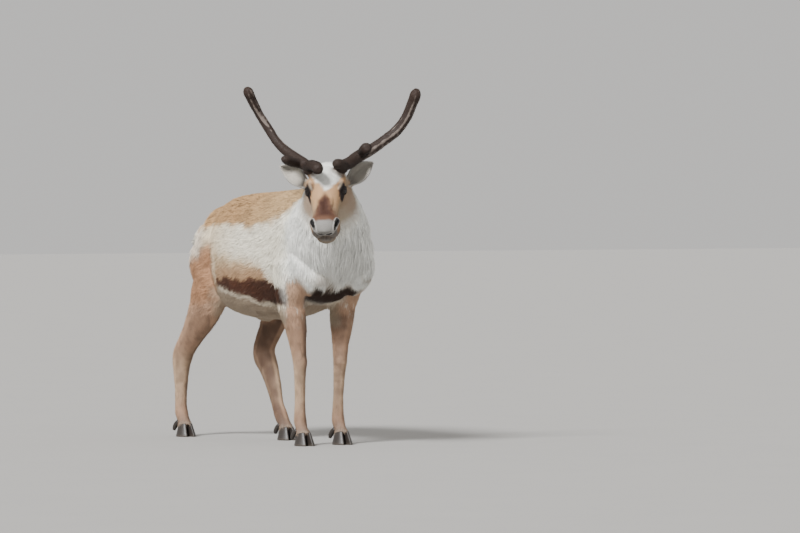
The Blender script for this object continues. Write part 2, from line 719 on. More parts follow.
def mesh_of(name, spots, faces):
    """A mesh of triangles from arrays."""
    mesh = bpy.data.meshes.new(name)
    mesh.vertices.add(len(spots))
    mesh.vertices.foreach_set("co", np.asarray(spots, np.float32).ravel())
    mesh.loops.add(faces.size)
    mesh.loops.foreach_set("vertex_index", np.asarray(faces, np.int32).ravel())
    mesh.polygons.add(len(faces))
    mesh.polygons.foreach_set("loop_start", np.arange(0, faces.size, 3, dtype=np.int32))
    mesh.update(calc_edges=True)
    return mesh


def normals_of(spots, faces):
    """Smooth unit normals at the vertices of a mesh of triangles."""
    a, b, c = (spots[faces[:, k]] for k in range(3))
    flat = np.cross(b - a, c - a)
    total = np.zeros_like(spots)
    for k in range(3):
        for axis in range(3):
            total[:, axis] += np.bincount(faces[:, k], flat[:, axis], len(spots))
    return unit(total)


def unit(rows):
    return rows / np.maximum(np.linalg.norm(rows, axis=1, keepdims=True), 1e-9)


def averaged(values, faces, rounds, share=1.0):
    """Values at vertices drawn towards the mean of their neighbours, a number of times."""
    first = np.concatenate([faces[:, 0], faces[:, 1], faces[:, 2]])
    second = np.concatenate([faces[:, 1], faces[:, 2], faces[:, 0]])
    count = np.bincount(first, minlength=len(values)) + np.bincount(second, minlength=len(values))
    share = np.broadcast_to(share, (len(values),))[:, None] * 0.5
    for _ in range(rounds):
        total = np.stack(
            [
                np.bincount(first, values[second, k], len(values))
                + np.bincount(second, values[first, k], len(values))
                for k in range(values.shape[1])
            ],
            axis=1,
        )
        values = values + share * (total / np.maximum(count, 1)[:, None] - values)
    return values


def line_distance(spots, line):
    """Distance from each spot to a bent line."""
    nearest = np.full(len(spots), 9.0)
    for first, second in zip(np.array(line, float)[:-1], np.array(line, float)[1:]):
        way = second - first
        t = np.clip((spots - first) @ way / max(way @ way, 1e-12), 0, 1)
        nearest = np.minimum(nearest, np.linalg.norm(spots - first - t[:, None] * way, axis=1))
    return nearest


def beyond(spots, plane):
    """How far each spot lies ahead of a plane."""
    return (spots - np.array(plane[0])) @ np.array(plane[1])


def in_head(spots):
    """Spots in the head's frame."""
    turn = np.array(HEAD.to_3x3())
    return (spots - np.array(EYE_LINE)) @ turn


def smooth(low, high, values):
    """0 below low, 1 above high, and a smooth rise between them."""
    t = np.clip((values - low) / (high - low), 0, 1)
    return t * t * (3 - 2 * t)


def noise(spots, size, seed=0):
    """Smooth lumps of -1 to 1 at the spots, about `size` metres across."""
    place = spots / size + seed * 7.31
    base = np.floor(place).astype(np.int64)
    part = place - base
    part = part * part * (3 - 2 * part)
    total = np.zeros(len(spots))
    for i in (0, 1):
        for j in (0, 1):
            for k in (0, 1):
                mixed = (base[:, 0] + i) * 73856093 ^ (base[:, 1] + j) * 19349663
                mixed = mixed ^ (base[:, 2] + k) * 83492791 ^ (seed + 1) * 668265263
                mixed = ((mixed & 0xFFFFFFFF) ^ ((mixed & 0xFFFFFFFF) >> 15)) * 2246822519
                mixed = ((mixed & 0xFFFFFFFF) ^ ((mixed & 0xFFFFFFFF) >> 13)) * 3266489917
                value = ((mixed >> 7) & 0xFFFF) / 32767.5 - 1
                weight = np.where(i, part[:, 0], 1 - part[:, 0])
                weight = weight * np.where(j, part[:, 1], 1 - part[:, 1])
                total += value * weight * np.where(k, part[:, 2], 1 - part[:, 2])
    return total


# Markings: heights of each zone's lower edge along the flank, as pairs of y and z
SADDLE_EDGE = [(-0.56, 1.10), (-0.45, 1.04), (-0.38, 0.985), (-0.30, 0.915), (-0.20, 0.886), (0.30, 0.884), (0.42, 0.87), (0.58, 0.80)]
WHITE_EDGE = [(-0.45, 0.640), (-0.33, 0.665), (-0.24, 0.690), (-0.18, 0.745), (0.18, 0.785), (0.30, 0.800)]
BAND_TOP = [(-0.44, 0.640), (-0.33, 0.655), (-0.20, 0.676), (0.20, 0.674), (0.28, 0.690)]
BAND_BOTTOM = [(-0.42, 0.600), (-0.37, 0.592), (-0.17, 0.578), (0.09, 0.626), (0.22, 0.650)]

# The front edge of each thigh, as pairs of z and y
THIGH_EDGE = {
    "right": [(0.45, 0.40), (0.50, 0.36), (0.55, 0.315), (0.60, 0.27), (0.68, 0.225), (0.78, 0.235), (0.90, 0.26)],
    "left": [(0.455, 0.24), (0.525, 0.185), (0.60, 0.145), (0.68, 0.17), (0.78, 0.22), (0.90, 0.26)],
}
# Where the forelegs' hair begins, seen across the animal's front quarter
LEG_EDGE = 0.026

HAIR_ON_HEAD = 0.010
REGIONS = ("torso", "neck", "head", "tail", "legs")


def region_of(spots):
    """Which region of the coat each spot belongs to, as a number of REGIONS."""
    region = np.zeros(len(spots), int)
    low = np.where(spots[:, 1] < 0.02, 0.540, 0.520)
    region[spots[:, 2] < low] = 4
    trunk_under = (np.abs(spots[:, 0]) < 0.085) & (spots[:, 2] > 0.47)
    region[trunk_under & (region == 4)] = 0
    region[(beyond(spots, NECK_CUT) > 0) & (spots[:, 2] > 0.56) & (spots[:, 1] < -0.3)] = 1
    region[(beyond(spots, TAIL_CUT) > 0) & (spots[:, 1] > 0.4)] = 3
    region[on_face(spots) > 0.5] = 2
    return region


def on_face(spots):
    """1 on the head, 0 on the neck and the throat, and a soft change between them."""
    throat = smooth(-0.152, -0.122, in_head(spots)[:, 2])
    return smooth(-0.030, 0.012, beyond(spots, HEAD_PLANE)) * throat


def mixed(first, second, share):
    return first + (np.asarray(second) - first) * share[:, None]


def height_along(table, y):
    ys, zs = zip(*table)
    return np.interp(y, ys, zs)


def hair_length(spots):
    """Length of the hair at each spot, in metres."""
    x, y, z = spots.T
    head = in_head(spots)
    length = np.full(len(spots), LOOK["length"])
    ruff = smooth(-0.30, -0.46, y) * smooth(0.655, 0.78, z)
    throat = ruff * smooth(1.00, 0.84, z) * smooth(0.02, 0.10, beyond(spots, NECK_CUT))
    length = length + ruff * 0.012 + throat * 0.030
    length = length - 0.010 * smooth(0.72, 0.64, z) * smooth(-0.30, -0.40, y)
    drape = np.exp(-(((x + 0.02) / 0.06) ** 2)) * smooth(0.77, 0.69, z) * smooth(-0.44, -0.52, y)
    length = length + 0.040 * drape
    length = length + 0.012 * smooth(0.30, 0.48, y) * smooth(0.66, 0.76, z)
    belly = smooth(0.60, 0.54, z) * (np.abs(x) < 0.2)
    length = length + 0.008 * belly
    leg = smooth(0.66, 0.40, z)
    length = length * (1 - leg) + 0.012 * leg
    length = length + 0.007 * smooth(0.085, 0.060, z)
    faced = on_face(spots)
    face = 0.0045 + (HAIR_ON_HEAD - 0.0045) * smooth(0.13, -0.06, head[:, 0])
    face = face + 0.010 * smooth(-0.03, -0.12, head[:, 2]) * smooth(0.06, -0.06, head[:, 0])
    face = face - 0.0015 * smooth(0.185, 0.21, head[:, 0])
    length = length * (1 - faced) + face * faced
    tail = smooth(-0.01, 0.03, beyond(spots, TAIL_CUT)) * (y > 0.5)
    return length * (1 - tail) + 0.040 * tail


def coat_depth(spots):
    """How far the skin lies under the coat's outer surface."""
    head = in_head(spots)
    depth = hair_length(spots) * 0.34
    tail = smooth(-0.01, 0.02, beyond(spots, TAIL_CUT)) * (spots[:, 1] > 0.5)
    depth = depth * (1 - tail) + 0.005 * tail
    for side in SIDES.values():
        away = np.linalg.norm(spots - np.array(on_head(*EYE_PLACE, side)), axis=1)
        depth = np.minimum(depth, 0.0004 + 0.0026 * smooth(0.022, 0.036, away))
    nose = smooth(0.165, 0.200, head[:, 0]) * (beyond(spots, HEAD_PLANE) > 0)
    return depth * (1 - nose) + 0.0007 * nose


def lie_of(spots, normals):
    """The way the hair lies at each spot, along the surface."""
    x, y, z = spots.T
    head = in_head(spots)
    region = region_of(spots)
    ways = np.tile([0.0, 1.0, -0.42], (len(spots), 1))
    ways = mixed(ways, [0.0, 0.35, -1.0], smooth(0.30, 0.50, y))
    front = smooth(-0.22, -0.42, y)
    ways = mixed(ways, [0.05, 0.50, -0.95], front)
    ways = mixed(ways, [0.06, 0.12, -1.0], front * smooth(0.98, 0.84, z))
    ways = mixed(ways, [0.0, 1.0, -0.15], smooth(-0.5, -0.9, normals[:, 2]) * (region == 0) * smooth(-0.3, -0.1, y))
    ways = mixed(ways, [0.0, 0.06, -1.0], (region == 4).astype(float))
    spine = (Vector(TAIL[-1][0]) - Vector(TAIL[1][0])).normalized()
    ways = mixed(ways, np.array(spine), (region == 3).astype(float))
    turn = np.array(HEAD.to_3x3())
    sideways = np.sign(head[:, 1]) * smooth(0, 0.03, np.abs(head[:, 1]))
    facial = np.stack([np.full(len(x), -1.0), 0.55 * sideways, -0.30 + 0 * x], axis=1)
    brow = smooth(0.05, -0.03, head[:, 0]) * smooth(0.0, 0.04, head[:, 2])
    facial = facial + brow[:, None] * np.stack([0 * x, 0.7 * sideways, 0 * x], axis=1)
    low = smooth(-0.05, -0.10, head[:, 2])
    facial = facial + low[:, None] * np.array([0.0, 0.0, -0.5])
    ways = mixed(ways, facial @ turn.T, on_face(spots))
    waves = np.stack([noise(spots, 0.035, 20 + k) for k in range(3)], axis=1)
    ways = unit(ways) + waves * (0.30 * smooth(0.006, 0.030, hair_length(spots)) + 0.06)[:, None]
    ways = ways - normals * np.sum(ways * normals, axis=1, keepdims=True)
    return unit(ways)


def body_tone(spots):
    """Colours of trunk and neck."""
    x, y, z = spots.T
    ragged = 0.016 * noise(spots, 0.05, 1) + 0.009 * noise(spots, 0.018, 2)
    z = z + ragged
    y = y + 0.6 * ragged
    back, pale_back = LOOK["back"], LOOK["back"] * (1.15, 1.35, 1.55)
    white, band_colour, leg_colour = LOOK["white"], LOOK["band"], LOOK["legs"]
    tone = np.tile(back, (len(x), 1))
    tone = mixed(tone, pale_back, smooth(0.10, -0.30, y) * 0.6)
    clumps = smooth(0.05, 0.75, noise(spots, 0.034, 3) + 0.5 * noise(spots, 0.014, 4))
    tone = tone * (1 - 0.24 * clumps)[:, None]
    cracks = smooth(0.10, 0.0, np.abs(noise(spots, 0.045, 5))) * smooth(-0.1, 0.3, noise(spots, 0.09, 15))
    cracks = np.maximum(cracks, 0.8 * smooth(0.13, 0.0, np.abs(noise(spots, 0.024, 16))) * smooth(0.0, 0.4, noise(spots, 0.06, 17)))
    cracks = cracks * smooth(0.72, 0.90, z) * smooth(-0.46, -0.34, y)
    tone = tone * (1 - 0.58 * cracks * smooth(0.84, 0.92, z))[:, None]
    saddle = height_along(SADDLE_EDGE, y)
    flank_white = mixed(np.tile(white * (1.0, 0.94, 0.82), (len(x), 1)), white * (0.93, 0.80, 0.62), smooth(-0.05, 0.25, y))
    flank_white = flank_white * (1 - 0.30 * cracks)[:, None]
    tone = mixed(flank_white, tone, smooth(-0.016, 0.022, z - saddle))
    gold = smooth(0.024, -0.030, z - height_along(WHITE_EDGE, y)) * smooth(-0.30, -0.20, y)
    gold_tone = mixed(np.tile((0.62, 0.47, 0.30), (len(x), 1)), (0.44, 0.275, 0.155), smooth(0.77, 0.69, z))
    tone = mixed(tone, gold_tone, gold)
    in_band = smooth(-0.45, -0.39, y) * smooth(0.27, 0.18, y)
    band = smooth(0.010, -0.012, z - height_along(BAND_TOP, y)) * in_band
    band_dark = mixed(np.tile(band_colour, (len(x), 1)), band_colour * (0.55, 0.55, 0.55), smooth(-0.05, -0.28, y))
    band_dark = band_dark * (1 + 0.30 * noise(spots, 0.03, 12))[:, None]
    tone = mixed(tone, band_dark, band)
    under = smooth(0.008, -0.010, z - height_along(BAND_BOTTOM, y)) * smooth(-0.46, -0.38, y)
    tone = mixed(tone, white * (0.80, 0.70, 0.58), under * in_band)
    belly = smooth(-0.012, -0.030, z - height_along(BAND_BOTTOM, y)) * smooth(-0.46, -0.38, y)
    tone = mixed(tone, (0.36, 0.28, 0.20), belly)
    # Haunch: tan and mottled, with a cream fold before it and a cream patch behind
    edge = np.where(x > 0, np.interp(z, *zip(*THIGH_EDGE["left"])), np.interp(z, *zip(*THIGH_EDGE["right"])))
    haunch = smooth(-0.025, 0.035, y - edge + ragged) * smooth(0.90, 0.84, z) * smooth(0.055, 0.095, np.abs(x))
    thigh = np.tile(leg_colour * (0.74, 0.64, 0.54), (len(x), 1)) * (1.10 - 0.28 * smooth(0.0, 0.7, noise(spots, 0.03, 6)))[:, None]
    tone = mixed(tone, thigh, haunch * smooth(0.86, 0.76, z))
    fold = smooth(0.034, 0.006, np.abs(y - edge + 0.012)) * smooth(0.63, 0.69, z) * smooth(0.86, 0.80, z)
    tone = mixed(tone, white * (0.86, 0.70, 0.52), fold * 0.75)
    rump = smooth(0.30, 0.38, y) * smooth(0.74, 0.79, z) * smooth(0.90, 0.86, z)
    tone = mixed(tone, white * (0.90, 0.80, 0.70), rump * 0.85)
    seat = smooth(0.47, 0.52, y)
    tone = mixed(tone, white * (0.94, 0.88, 0.80), seat * 0.8)
    # Shoulder and neck: white, and a dark brisket between the forelegs
    fore = smooth(-0.33, -0.43, y) * (1 - smooth(-0.016, 0.022, z - saddle))
    tone = mixed(tone, white * (1.02, 1.02, 1.0), fore)
    patchy = smooth(0.72, 0.68, z) * smooth(-0.36, -0.42, y) * smooth(-0.3, 0.4, noise(spots, 0.035, 13))
    tone = mixed(tone, (0.26, 0.19, 0.135), patchy * 0.75)
    brisket = smooth(0.668, 0.640, z) * smooth(-0.34, -0.40, y) * smooth(0.115, 0.085, np.abs(x + 0.01))
    tone = mixed(tone, (0.026, 0.011, 0.006), brisket)
    elbow = smooth(0.700, 0.672, z) * before_leg(spots) * smooth(0.085, 0.115, np.abs(x)) * smooth(-0.50, -0.46, y)
    return mixed(tone, leg_colour * (0.95, 0.98, 1.0), elbow)


def before_leg(spots):
    """1 on the forelegs and ahead of them, 0 behind the line where their hair begins."""
    x, y, z = spots.T
    moved = np.where(x > 0, FORE_FOOT_Y["left"] - FORE_FOOT_Y["right"], 0.0)
    reach = -0.883 * np.abs(x) - 0.469 * (y - moved) + 0.006 * noise(spots, 0.02, 14)
    return smooth(LEG_EDGE - 0.008, LEG_EDGE + 0.008, reach)


def leg_tone(spots):
    """Colours of the legs: tan brown, darker down the front and towards the feet."""
    x, y, z = spots.T
    leg_colour = LOOK["legs"]
    tone = np.tile(leg_colour, (len(x), 1))
    tone = mixed(tone, leg_colour * (1.25, 1.40, 1.42), smooth(0.40, 0.28, z) * smooth(0.10, 0.20, z))
    tone = tone * (1.05 - 0.30 * smooth(-0.1, 0.8, noise(spots, 0.022, 7)))[:, None]
    wrinkles = smooth(0.14, 0.0, np.abs(noise(spots * (1, 1, 0.45), 0.020, 19))) * smooth(0.1, 0.5, noise(spots, 0.05, 29))
    tone = tone * (1 - 0.40 * wrinkles)[:, None]
    for name, (chain, side, y_zero) in LEGS.items():
        heights = [-row[2] for row in chain]
        middle_x = np.interp(-z, heights, [row[0] * side for row in chain])
        middle_y = np.interp(-z, heights, [row[1] + y_zero for row in chain])
        near = (np.sign(x) == side) & (np.abs(y - middle_y) < 0.14) & (z < 0.62)
        ahead = smooth(0.006, -0.020, y - middle_y + 0.006 * noise(spots, 0.02, 8))
        inside = smooth(0.002, -0.014, (x - middle_x) * side)
        dark = np.clip(ahead * 0.40 + inside * 0.35, 0, 0.7) * smooth(0.60, 0.50, z)
        dark = dark * (0.85 + 0.25 * noise(spots, 0.03, 18))
        if name == "hind_left":
            dark = np.clip(dark + 0.30 * inside, 0, 0.9)
        tone = np.where(near[:, None], mixed(tone, (0.11, 0.062, 0.042), dark), tone)
    flecks = smooth(0.35, 0.6, noise(spots, 0.012, 9)) * smooth(0.46, 0.54, z) * (y < 0)
    tone = mixed(tone, (0.62, 0.56, 0.48), flecks * 0.7)
    feet = smooth(0.115, 0.06, z)
    tone = mixed(tone, (0.17, 0.12, 0.09), feet * 0.65)
    ring = smooth(0.020, 0.008, np.abs(z - 0.050))
    return mixed(tone, (0.34, 0.27, 0.21), ring * 0.5)


def head_tone(spots):
    """Colours of the head, worked out in its own frame."""
    head = in_head(spots)
    x, y, z = head.T
    rough = 0.006 * noise(spots, 0.016, 10) + 0.003 * noise(spots, 0.006, 11)
    side = np.abs(y)
    face, white = LOOK["face"], LOOK["white"]
    tone = np.tile(face * (0.74, 0.90, 1.10), (len(x), 1))
    # Face before the eyes is golden tan, cheeks a little browner
    top = smooth(-0.012, 0.020, z + rough)
    tone = mixed(tone, face, top * smooth(0.15, 0.08, x))
    tone = mixed(tone, (0.24, 0.135, 0.08), smooth(0.10, 0.17, x + rough) * 0.75)
    # White blaze of the forehead, spreading to the crown
    edge = np.interp(x, [-0.10, -0.05, 0.0, 0.035], [0.070, 0.060, 0.035, 0.006])
    blaze = smooth(0.040, 0.027, x + rough) * smooth(edge + 0.006, edge - 0.008, np.abs(y - 0.006) + rough)
    blaze = blaze * smooth(-0.005, 0.015, z)
    crown = smooth(-0.070, -0.095, x + rough)
    tone = mixed(tone, white, np.maximum(blaze, crown * smooth(-0.02, 0.0, z)))
    nape = np.maximum(smooth(0.030, -0.010, beyond(spots, HEAD_PLANE)), smooth(-0.105, -0.135, z + rough))
    tone = mixed(tone, white * (0.95, 0.93, 0.90), nape)
    # Grey brown below the cheek, pale strands behind the jaw
    jaw = smooth(-0.060, -0.085, z + rough) * smooth(0.10, 0.04, x)
    tone = mixed(tone, (0.46, 0.38, 0.29), jaw * 0.7)
    cheek = smooth(0.03, -0.01, x) * smooth(-0.005, -0.030, z + rough) * smooth(-0.10, -0.07, x)
    tone = mixed(tone, (0.36, 0.25, 0.18), cheek * 0.6)
    # The dark bridge of the nose, narrow above and broad above the nose pad
    half = np.interp(x, [0.04, 0.09, 0.14, 0.185], [0.010, 0.019, 0.034, 0.046])
    bridge = np.exp(-(((side + rough) / half) ** 2) * 0.9) * smooth(0.030, 0.095, x + rough) * smooth(-0.006, 0.018, z)
    tone = mixed(tone, (0.125, 0.058, 0.032), smooth(0.03, 0.55, bridge))
    tone = mixed(tone, LOOK["bridge"], smooth(0.40, 0.95, bridge) * smooth(0.185, 0.160, x) * 0.92)
    # Pale nose pad, upper lip and chin
    pad = smooth(0.188, 0.200, x + rough * 0.6) * smooth(0.052, 0.042, side)
    tone = mixed(tone, (0.225, 0.215, 0.20), pad)
    rim_of_pad = pad * smooth(0.026, 0.040, side)
    tone = mixed(tone, (0.12, 0.10, 0.09), rim_of_pad * 0.7)
    lip = smooth(0.110, 0.150, x + rough) * smooth(-0.030, -0.046, z + rough) * smooth(-0.080, -0.066, z)
    tone = mixed(tone, (0.20, 0.17, 0.145), lip * 0.85)
    chin = smooth(0.09, 0.14, x + rough) * smooth(-0.070, -0.080, z)
    tone = mixed(tone, (0.25, 0.195, 0.14), chin * 0.9)
    # Dark rims of nostrils, mouth and eyes, and the tear line
    for sign in SIDES.values():
        line = [(a, b * sign, c) for a, b, c, _ in NOSTRIL]
        away = line_distance(head, line) - 0.0065
        tone = mixed(tone, (0.50, 0.48, 0.45), smooth(0.0095, 0.0060, away) * 0.75)
        tone = mixed(tone, (0.006, 0.005, 0.005), smooth(0.0058, 0.0030, away))
        eye = np.array(EYE_PLACE) * (1, sign, 1)
        look = np.array(EYE_LOOK) * (1, sign, 1)
        apart = head - eye - look * 0.014 - np.array([0.004, -0.009 * sign, 0.002])
        up = apart @ np.array([-0.68, 0.0, 0.73])
        away = np.sqrt(np.maximum(np.sum(apart**2, axis=1) - up**2, 0) * 0.85 + np.where(up > 0, 0.50, 0.36) * up**2)
        tone = mixed(tone, (0.075, 0.034, 0.020), smooth(0.034, 0.023, away + rough) * 0.9)
        tone = mixed(tone, (0.010, 0.006, 0.005), smooth(0.0255, 0.0190, away + rough * 0.6))
        tear = line_distance(head, [(0.014, 0.066 * sign, -0.002), (0.034, 0.060 * sign, -0.016), (0.052, 0.054 * sign, -0.024)])
        tone = mixed(tone, (0.020, 0.012, 0.010), smooth(0.0075, 0.0030, tear))
        arch = line_distance(head, [(-0.030, 0.060 * sign, 0.030), (-0.006, 0.062 * sign, 0.042), (0.020, 0.054 * sign, 0.038)])
        tone = mixed(tone, (0.66, 0.54, 0.40), smooth(0.010, 0.004, arch) * 0.35)
        away = np.linalg.norm(head - np.array(PEDICLE) * (1, sign, 1), axis=1)
        tone = mixed(tone, (0.11, 0.075, 0.055), smooth(0.045, 0.030, away) * 0.75)
    line = [(a, b, c) for a, b, c in MOUTH_LINE] + [(a, -b, c) for a, b, c in reversed(MOUTH_LINE)]
    return mixed(tone, (0.012, 0.008, 0.008), smooth(0.0060, 0.0030, line_distance(head, line)))


def markings(spots):
    """Colours of skin and coat alike at each spot."""
    tone = body_tone(spots)
    x, y, z = spots.T
    low = np.where(y < 0.02, 0.58, 0.57)
    trunk_under = smooth(0.100, 0.075, np.abs(x)) * smooth(0.47, 0.50, z)
    behind = (y < 0.02) * (1 - before_leg(spots)) * smooth(0.485, 0.510, z)
    edge = np.where(x > 0, np.interp(z, *zip(*THIGH_EDGE["left"])), np.interp(z, *zip(*THIGH_EDGE["right"])))
    behind = np.maximum(behind, (y >= 0.02) * smooth(0.0, -0.03, y - edge) * smooth(0.50, 0.52, z))
    leg = smooth(low + 0.03, low - 0.03, z) * (1 - trunk_under) * (1 - behind)
    tone = mixed(tone, leg_tone(spots), leg)
    tone = mixed(tone, head_tone(spots), on_face(spots))
    tail = smooth(-0.02, 0.02, beyond(spots, TAIL_CUT)) * (y > 0.5)
    tone = mixed(tone, LOOK["white"] * (0.94, 0.92, 0.86), tail)
    return np.clip(tone, 0.003, 0.85)


def unwrapped(spots):
    """Places of the spots on a flat unwrap of the animal's own form, in 0 to 1."""
    x, y, z = spots.T
    head = in_head(spots)
    region = region_of(spots)
    turn = np.arctan2(x, z - 0.76) / math.tau + 0.5
    flat = np.stack([0.02 + 0.56 * (y + 0.62) / 1.25, 0.52 + 0.46 * turn], axis=1)
    turn = np.arctan2(x + 0.06, z - 0.93) / math.tau + 0.5
    along = beyond(spots, NECK_CUT)
    flat = np.where((region == 1)[:, None], np.stack([0.60 + 0.9 * along, 0.70 + 0.28 * turn], axis=1), flat)
    turn = np.arctan2(head[:, 1], head[:, 2] + 0.03) / math.tau + 0.5
    flat = np.where((region == 2)[:, None], np.stack([0.62 + 0.9 * (head[:, 0] + 0.17), 0.38 + 0.30 * turn], axis=1), flat)
    flat = np.where((region == 3)[:, None], np.stack([0.60 + 0.5 * (y - 0.5), 0.30 + (z - 0.75) * 0.3], axis=1), flat)
    number = (x > 0) * 1 + (y > 0) * 2
    middle = np.array([-0.35, -0.32, 0.60, 0.25])[number]
    turn = np.arctan2(np.abs(x) - 0.11, y - middle) / math.tau + 0.5
    column = 0.02 + 0.14 * number + 0.12 * turn
    flat = np.where((region == 4)[:, None], np.stack([column, 0.02 + 0.80 * (z - 0.02) * 0.9], axis=1), flat)
    return np.clip(flat, 0.004, 0.992)


def scattered(spots, faces, weights, count, draw):
    """Evenly shared places on triangles: each place's triangle and its three shares."""
    a, b, c = (spots[faces[:, k]] for k in range(3))
    area = np.linalg.norm(np.cross(b - a, c - a), axis=1) * weights
    total = np.cumsum(area)
    picks = (np.arange(count) + draw.random(count)) * total[-1] / count
    chosen = np.minimum(np.searchsorted(total, picks), len(faces) - 1)
    r = np.sqrt(draw.random(count))
    s = draw.random(count)
    shares = np.stack([1 - r, r * (1 - s), r * s], axis=1)
    return chosen, shares


def tufts(name, roots, normals, ways, lengths, widths, lifts, colours, inner=1, sag=0.0, flat=0.36, soft=0.75):
    """A mesh of closed tapered tufts, with their colour and the unwrap of their roots."""
    count = len(roots)
    across = np.cross(normals, ways)
    lengths, widths, lifts = lengths[:, None], widths[:, None], lifts[:, None]
    rings = inner + 1
    taper = np.interp(np.arange(rings) / rings, [0, 0.35, 0.75, 1], [0.80, 1.0, 0.62, 0.1])
    spots = np.empty((count, 3 * rings + 1, 3))
    sink = np.minimum(0.0012, 0.03 * lengths + 0.0001)
    for ring in range(rings + 1):
        t = ring / rings
        rise = lifts * (t - 0.55 * t * t)
        spine = roots - normals * sink + ways * lengths * t * (1 - 0.2 * lifts) + normals * lengths * rise
        spine = spine + np.array([0, 0, -1.0]) * sag * lengths * t * t
        if ring == rings:
            spots[:, -1] = spine
            continue
        half = widths * 0.5 * taper[ring]
        spots[:, 3 * ring] = spine - across * half
        spots[:, 3 * ring + 1] = spine + across * half
        spots[:, 3 * ring + 2] = spine + normals * half * 2 * flat
    one = [(0, 1, 2)]
    for ring in range(rings - 1):
        low, high = 3 * ring, 3 * ring + 3
        for k in range(3):
            j = (k + 1) % 3
            one += [(low + j, low + k, high + k), (low + j, high + k, high + j)]
    last, tip = 3 * (rings - 1), 3 * rings
    one += [(last + (k + 1) % 3, last + k, tip) for k in range(3)]
    one = np.array(one)[:, ::-1]
    size = 3 * rings + 1
    faces = (one[None] + (np.arange(count) * size)[:, None, None]).reshape(-1, 3)
    mesh = mesh_of(name, spots.reshape(-1, 3), faces)
    along = np.append(np.repeat(np.arange(rings) / rings, 3), 1.0)
    shade = 0.86 + 0.18 * along
    tones = colours[:, None, :] * shade[None, :, None]
    paint(mesh, tones.reshape(-1, 3))
    hard = 1 - soft
    leans = [normals * (soft - 0.2 * hard) - across * (0.35 + hard), normals * (soft - 0.2 * hard) + across * (0.35 + hard), normals]
    leans = np.stack(leans * rings + [normals * soft + ways * (0.1 + 0.5 * hard)], axis=1).reshape(-1, 3)
    mesh.shade_smooth()
    mesh.normals_split_custom_set_from_vertices(unit(leans))
    aside = np.append(np.tile([-1.0, 1.0, 0.0], rings) * np.repeat(taper, 3), 0.0)
    patch = np.stack([aside * 0.0015, (along - 0.5) * 0.003], axis=1)
    lay(mesh, (unwrapped(roots)[:, None] + patch[None]).reshape(-1, 2), faces)
    return mesh


def paint(mesh, tones, name="coat_colour"):
    """Writes a colour for each vertex."""
    layer = mesh.color_attributes.new(name, "FLOAT_COLOR", "POINT")
    rows = np.ones((len(tones), 4), np.float32)
    rows[:, :3] = np.clip(tones, 0, 1)
    layer.data.foreach_set("color", rows.ravel())


def lay(mesh, places, faces):
    """Writes the OFBake map from a place for each vertex."""
    layer = mesh.uv_layers.new(name="OFBake")
    layer.data.foreach_set("uv", np.asarray(places[faces.ravel()], np.float32).ravel())


BODY_NODES = ["torso", "neck", "head", "tail"] + [
    f"{leg}_{part}" for leg in LEGS for part in ("upper", "cannon", "foot")
]


def grain_group():
    """A shared node group: fine grain over a colour, with its roughness and its bump."""
    found = bpy.data.node_groups.get("fine_grain")
    if found:
        return found
    group = bpy.data.node_groups.new("fine_grain", "ShaderNodeTree")
    socket = group.interface.new_socket
    socket("Colour", in_out="INPUT", socket_type="NodeSocketColor")
    for name, value in (("Size", 0.002), ("Contrast", 0.2), ("Roughness", 0.7), ("Bump", 0.3), ("Stretch", 1.0)):
        socket(name, in_out="INPUT", socket_type="NodeSocketFloat").default_value = value
    socket("Colour", in_out="OUTPUT", socket_type="NodeSocketColor")
    socket("Roughness", in_out="OUTPUT", socket_type="NodeSocketFloat")
    socket("Normal", in_out="OUTPUT", socket_type="NodeSocketVector")
    nodes, link = group.nodes, group.links.new
    given, made = nodes.new("NodeGroupInput"), nodes.new("NodeGroupOutput")
    place = nodes.new("ShaderNodeTexCoord")
    stretch = nodes.new("ShaderNodeCombineXYZ")
    stretch.inputs["X"].default_value = stretch.inputs["Y"].default_value = 1.0
    link(given.outputs["Stretch"], stretch.inputs["Z"])
    scaled = nodes.new("ShaderNodeVectorMath")
    scaled.operation = "MULTIPLY"
    link(place.outputs["Object"], scaled.inputs[0])
    link(stretch.outputs["Vector"], scaled.inputs[1])
    per_metre = nodes.new("ShaderNodeMath")
    per_metre.operation = "DIVIDE"
    per_metre.inputs[0].default_value = 1.0
    link(given.outputs["Size"], per_metre.inputs[1])
    grain = nodes.new("ShaderNodeTexNoise")
    grain.inputs["Detail"].default_value = 3.0
    link(scaled.outputs["Vector"], grain.inputs["Vector"])
    link(per_metre.outputs["Value"], grain.inputs["Scale"])
    swing = nodes.new("ShaderNodeMapRange")
    swing.inputs["From Min"].default_value, swing.inputs["From Max"].default_value = 0.25, 0.75
    link(grain.outputs["Fac"], swing.inputs["Value"])
    below = nodes.new("ShaderNodeMath")
    below.operation = "SUBTRACT"
    below.inputs[0].default_value = 1.0
    link(given.outputs["Contrast"], below.inputs[1])
    link(below.outputs["Value"], swing.inputs["To Min"])
    above = nodes.new("ShaderNodeMath")
    above.operation = "ADD"
    above.inputs[0].default_value = 1.0
    link(given.outputs["Contrast"], above.inputs[1])
    link(above.outputs["Value"], swing.inputs["To Max"])
    tone = nodes.new("ShaderNodeVectorMath")
    tone.operation = "SCALE"
    link(given.outputs["Colour"], tone.inputs[0])
    link(swing.outputs["Result"], tone.inputs["Scale"])
    link(tone.outputs["Vector"], made.inputs["Colour"])
    rough = nodes.new("ShaderNodeMath")
    rough.operation = "MULTIPLY"
    rough.use_clamp = True
    link(given.outputs["Roughness"], rough.inputs[0])
    link(swing.outputs["Result"], rough.inputs[1])
    link(rough.outputs["Value"], made.inputs["Roughness"])
    bump = nodes.new("ShaderNodeBump")
    bump.inputs["Distance"].default_value = 0.001
    link(given.outputs["Bump"], bump.inputs["Strength"])
    link(grain.outputs["Fac"], bump.inputs["Height"])
    link(bump.outputs["Normal"], made.inputs["Normal"])
    return group


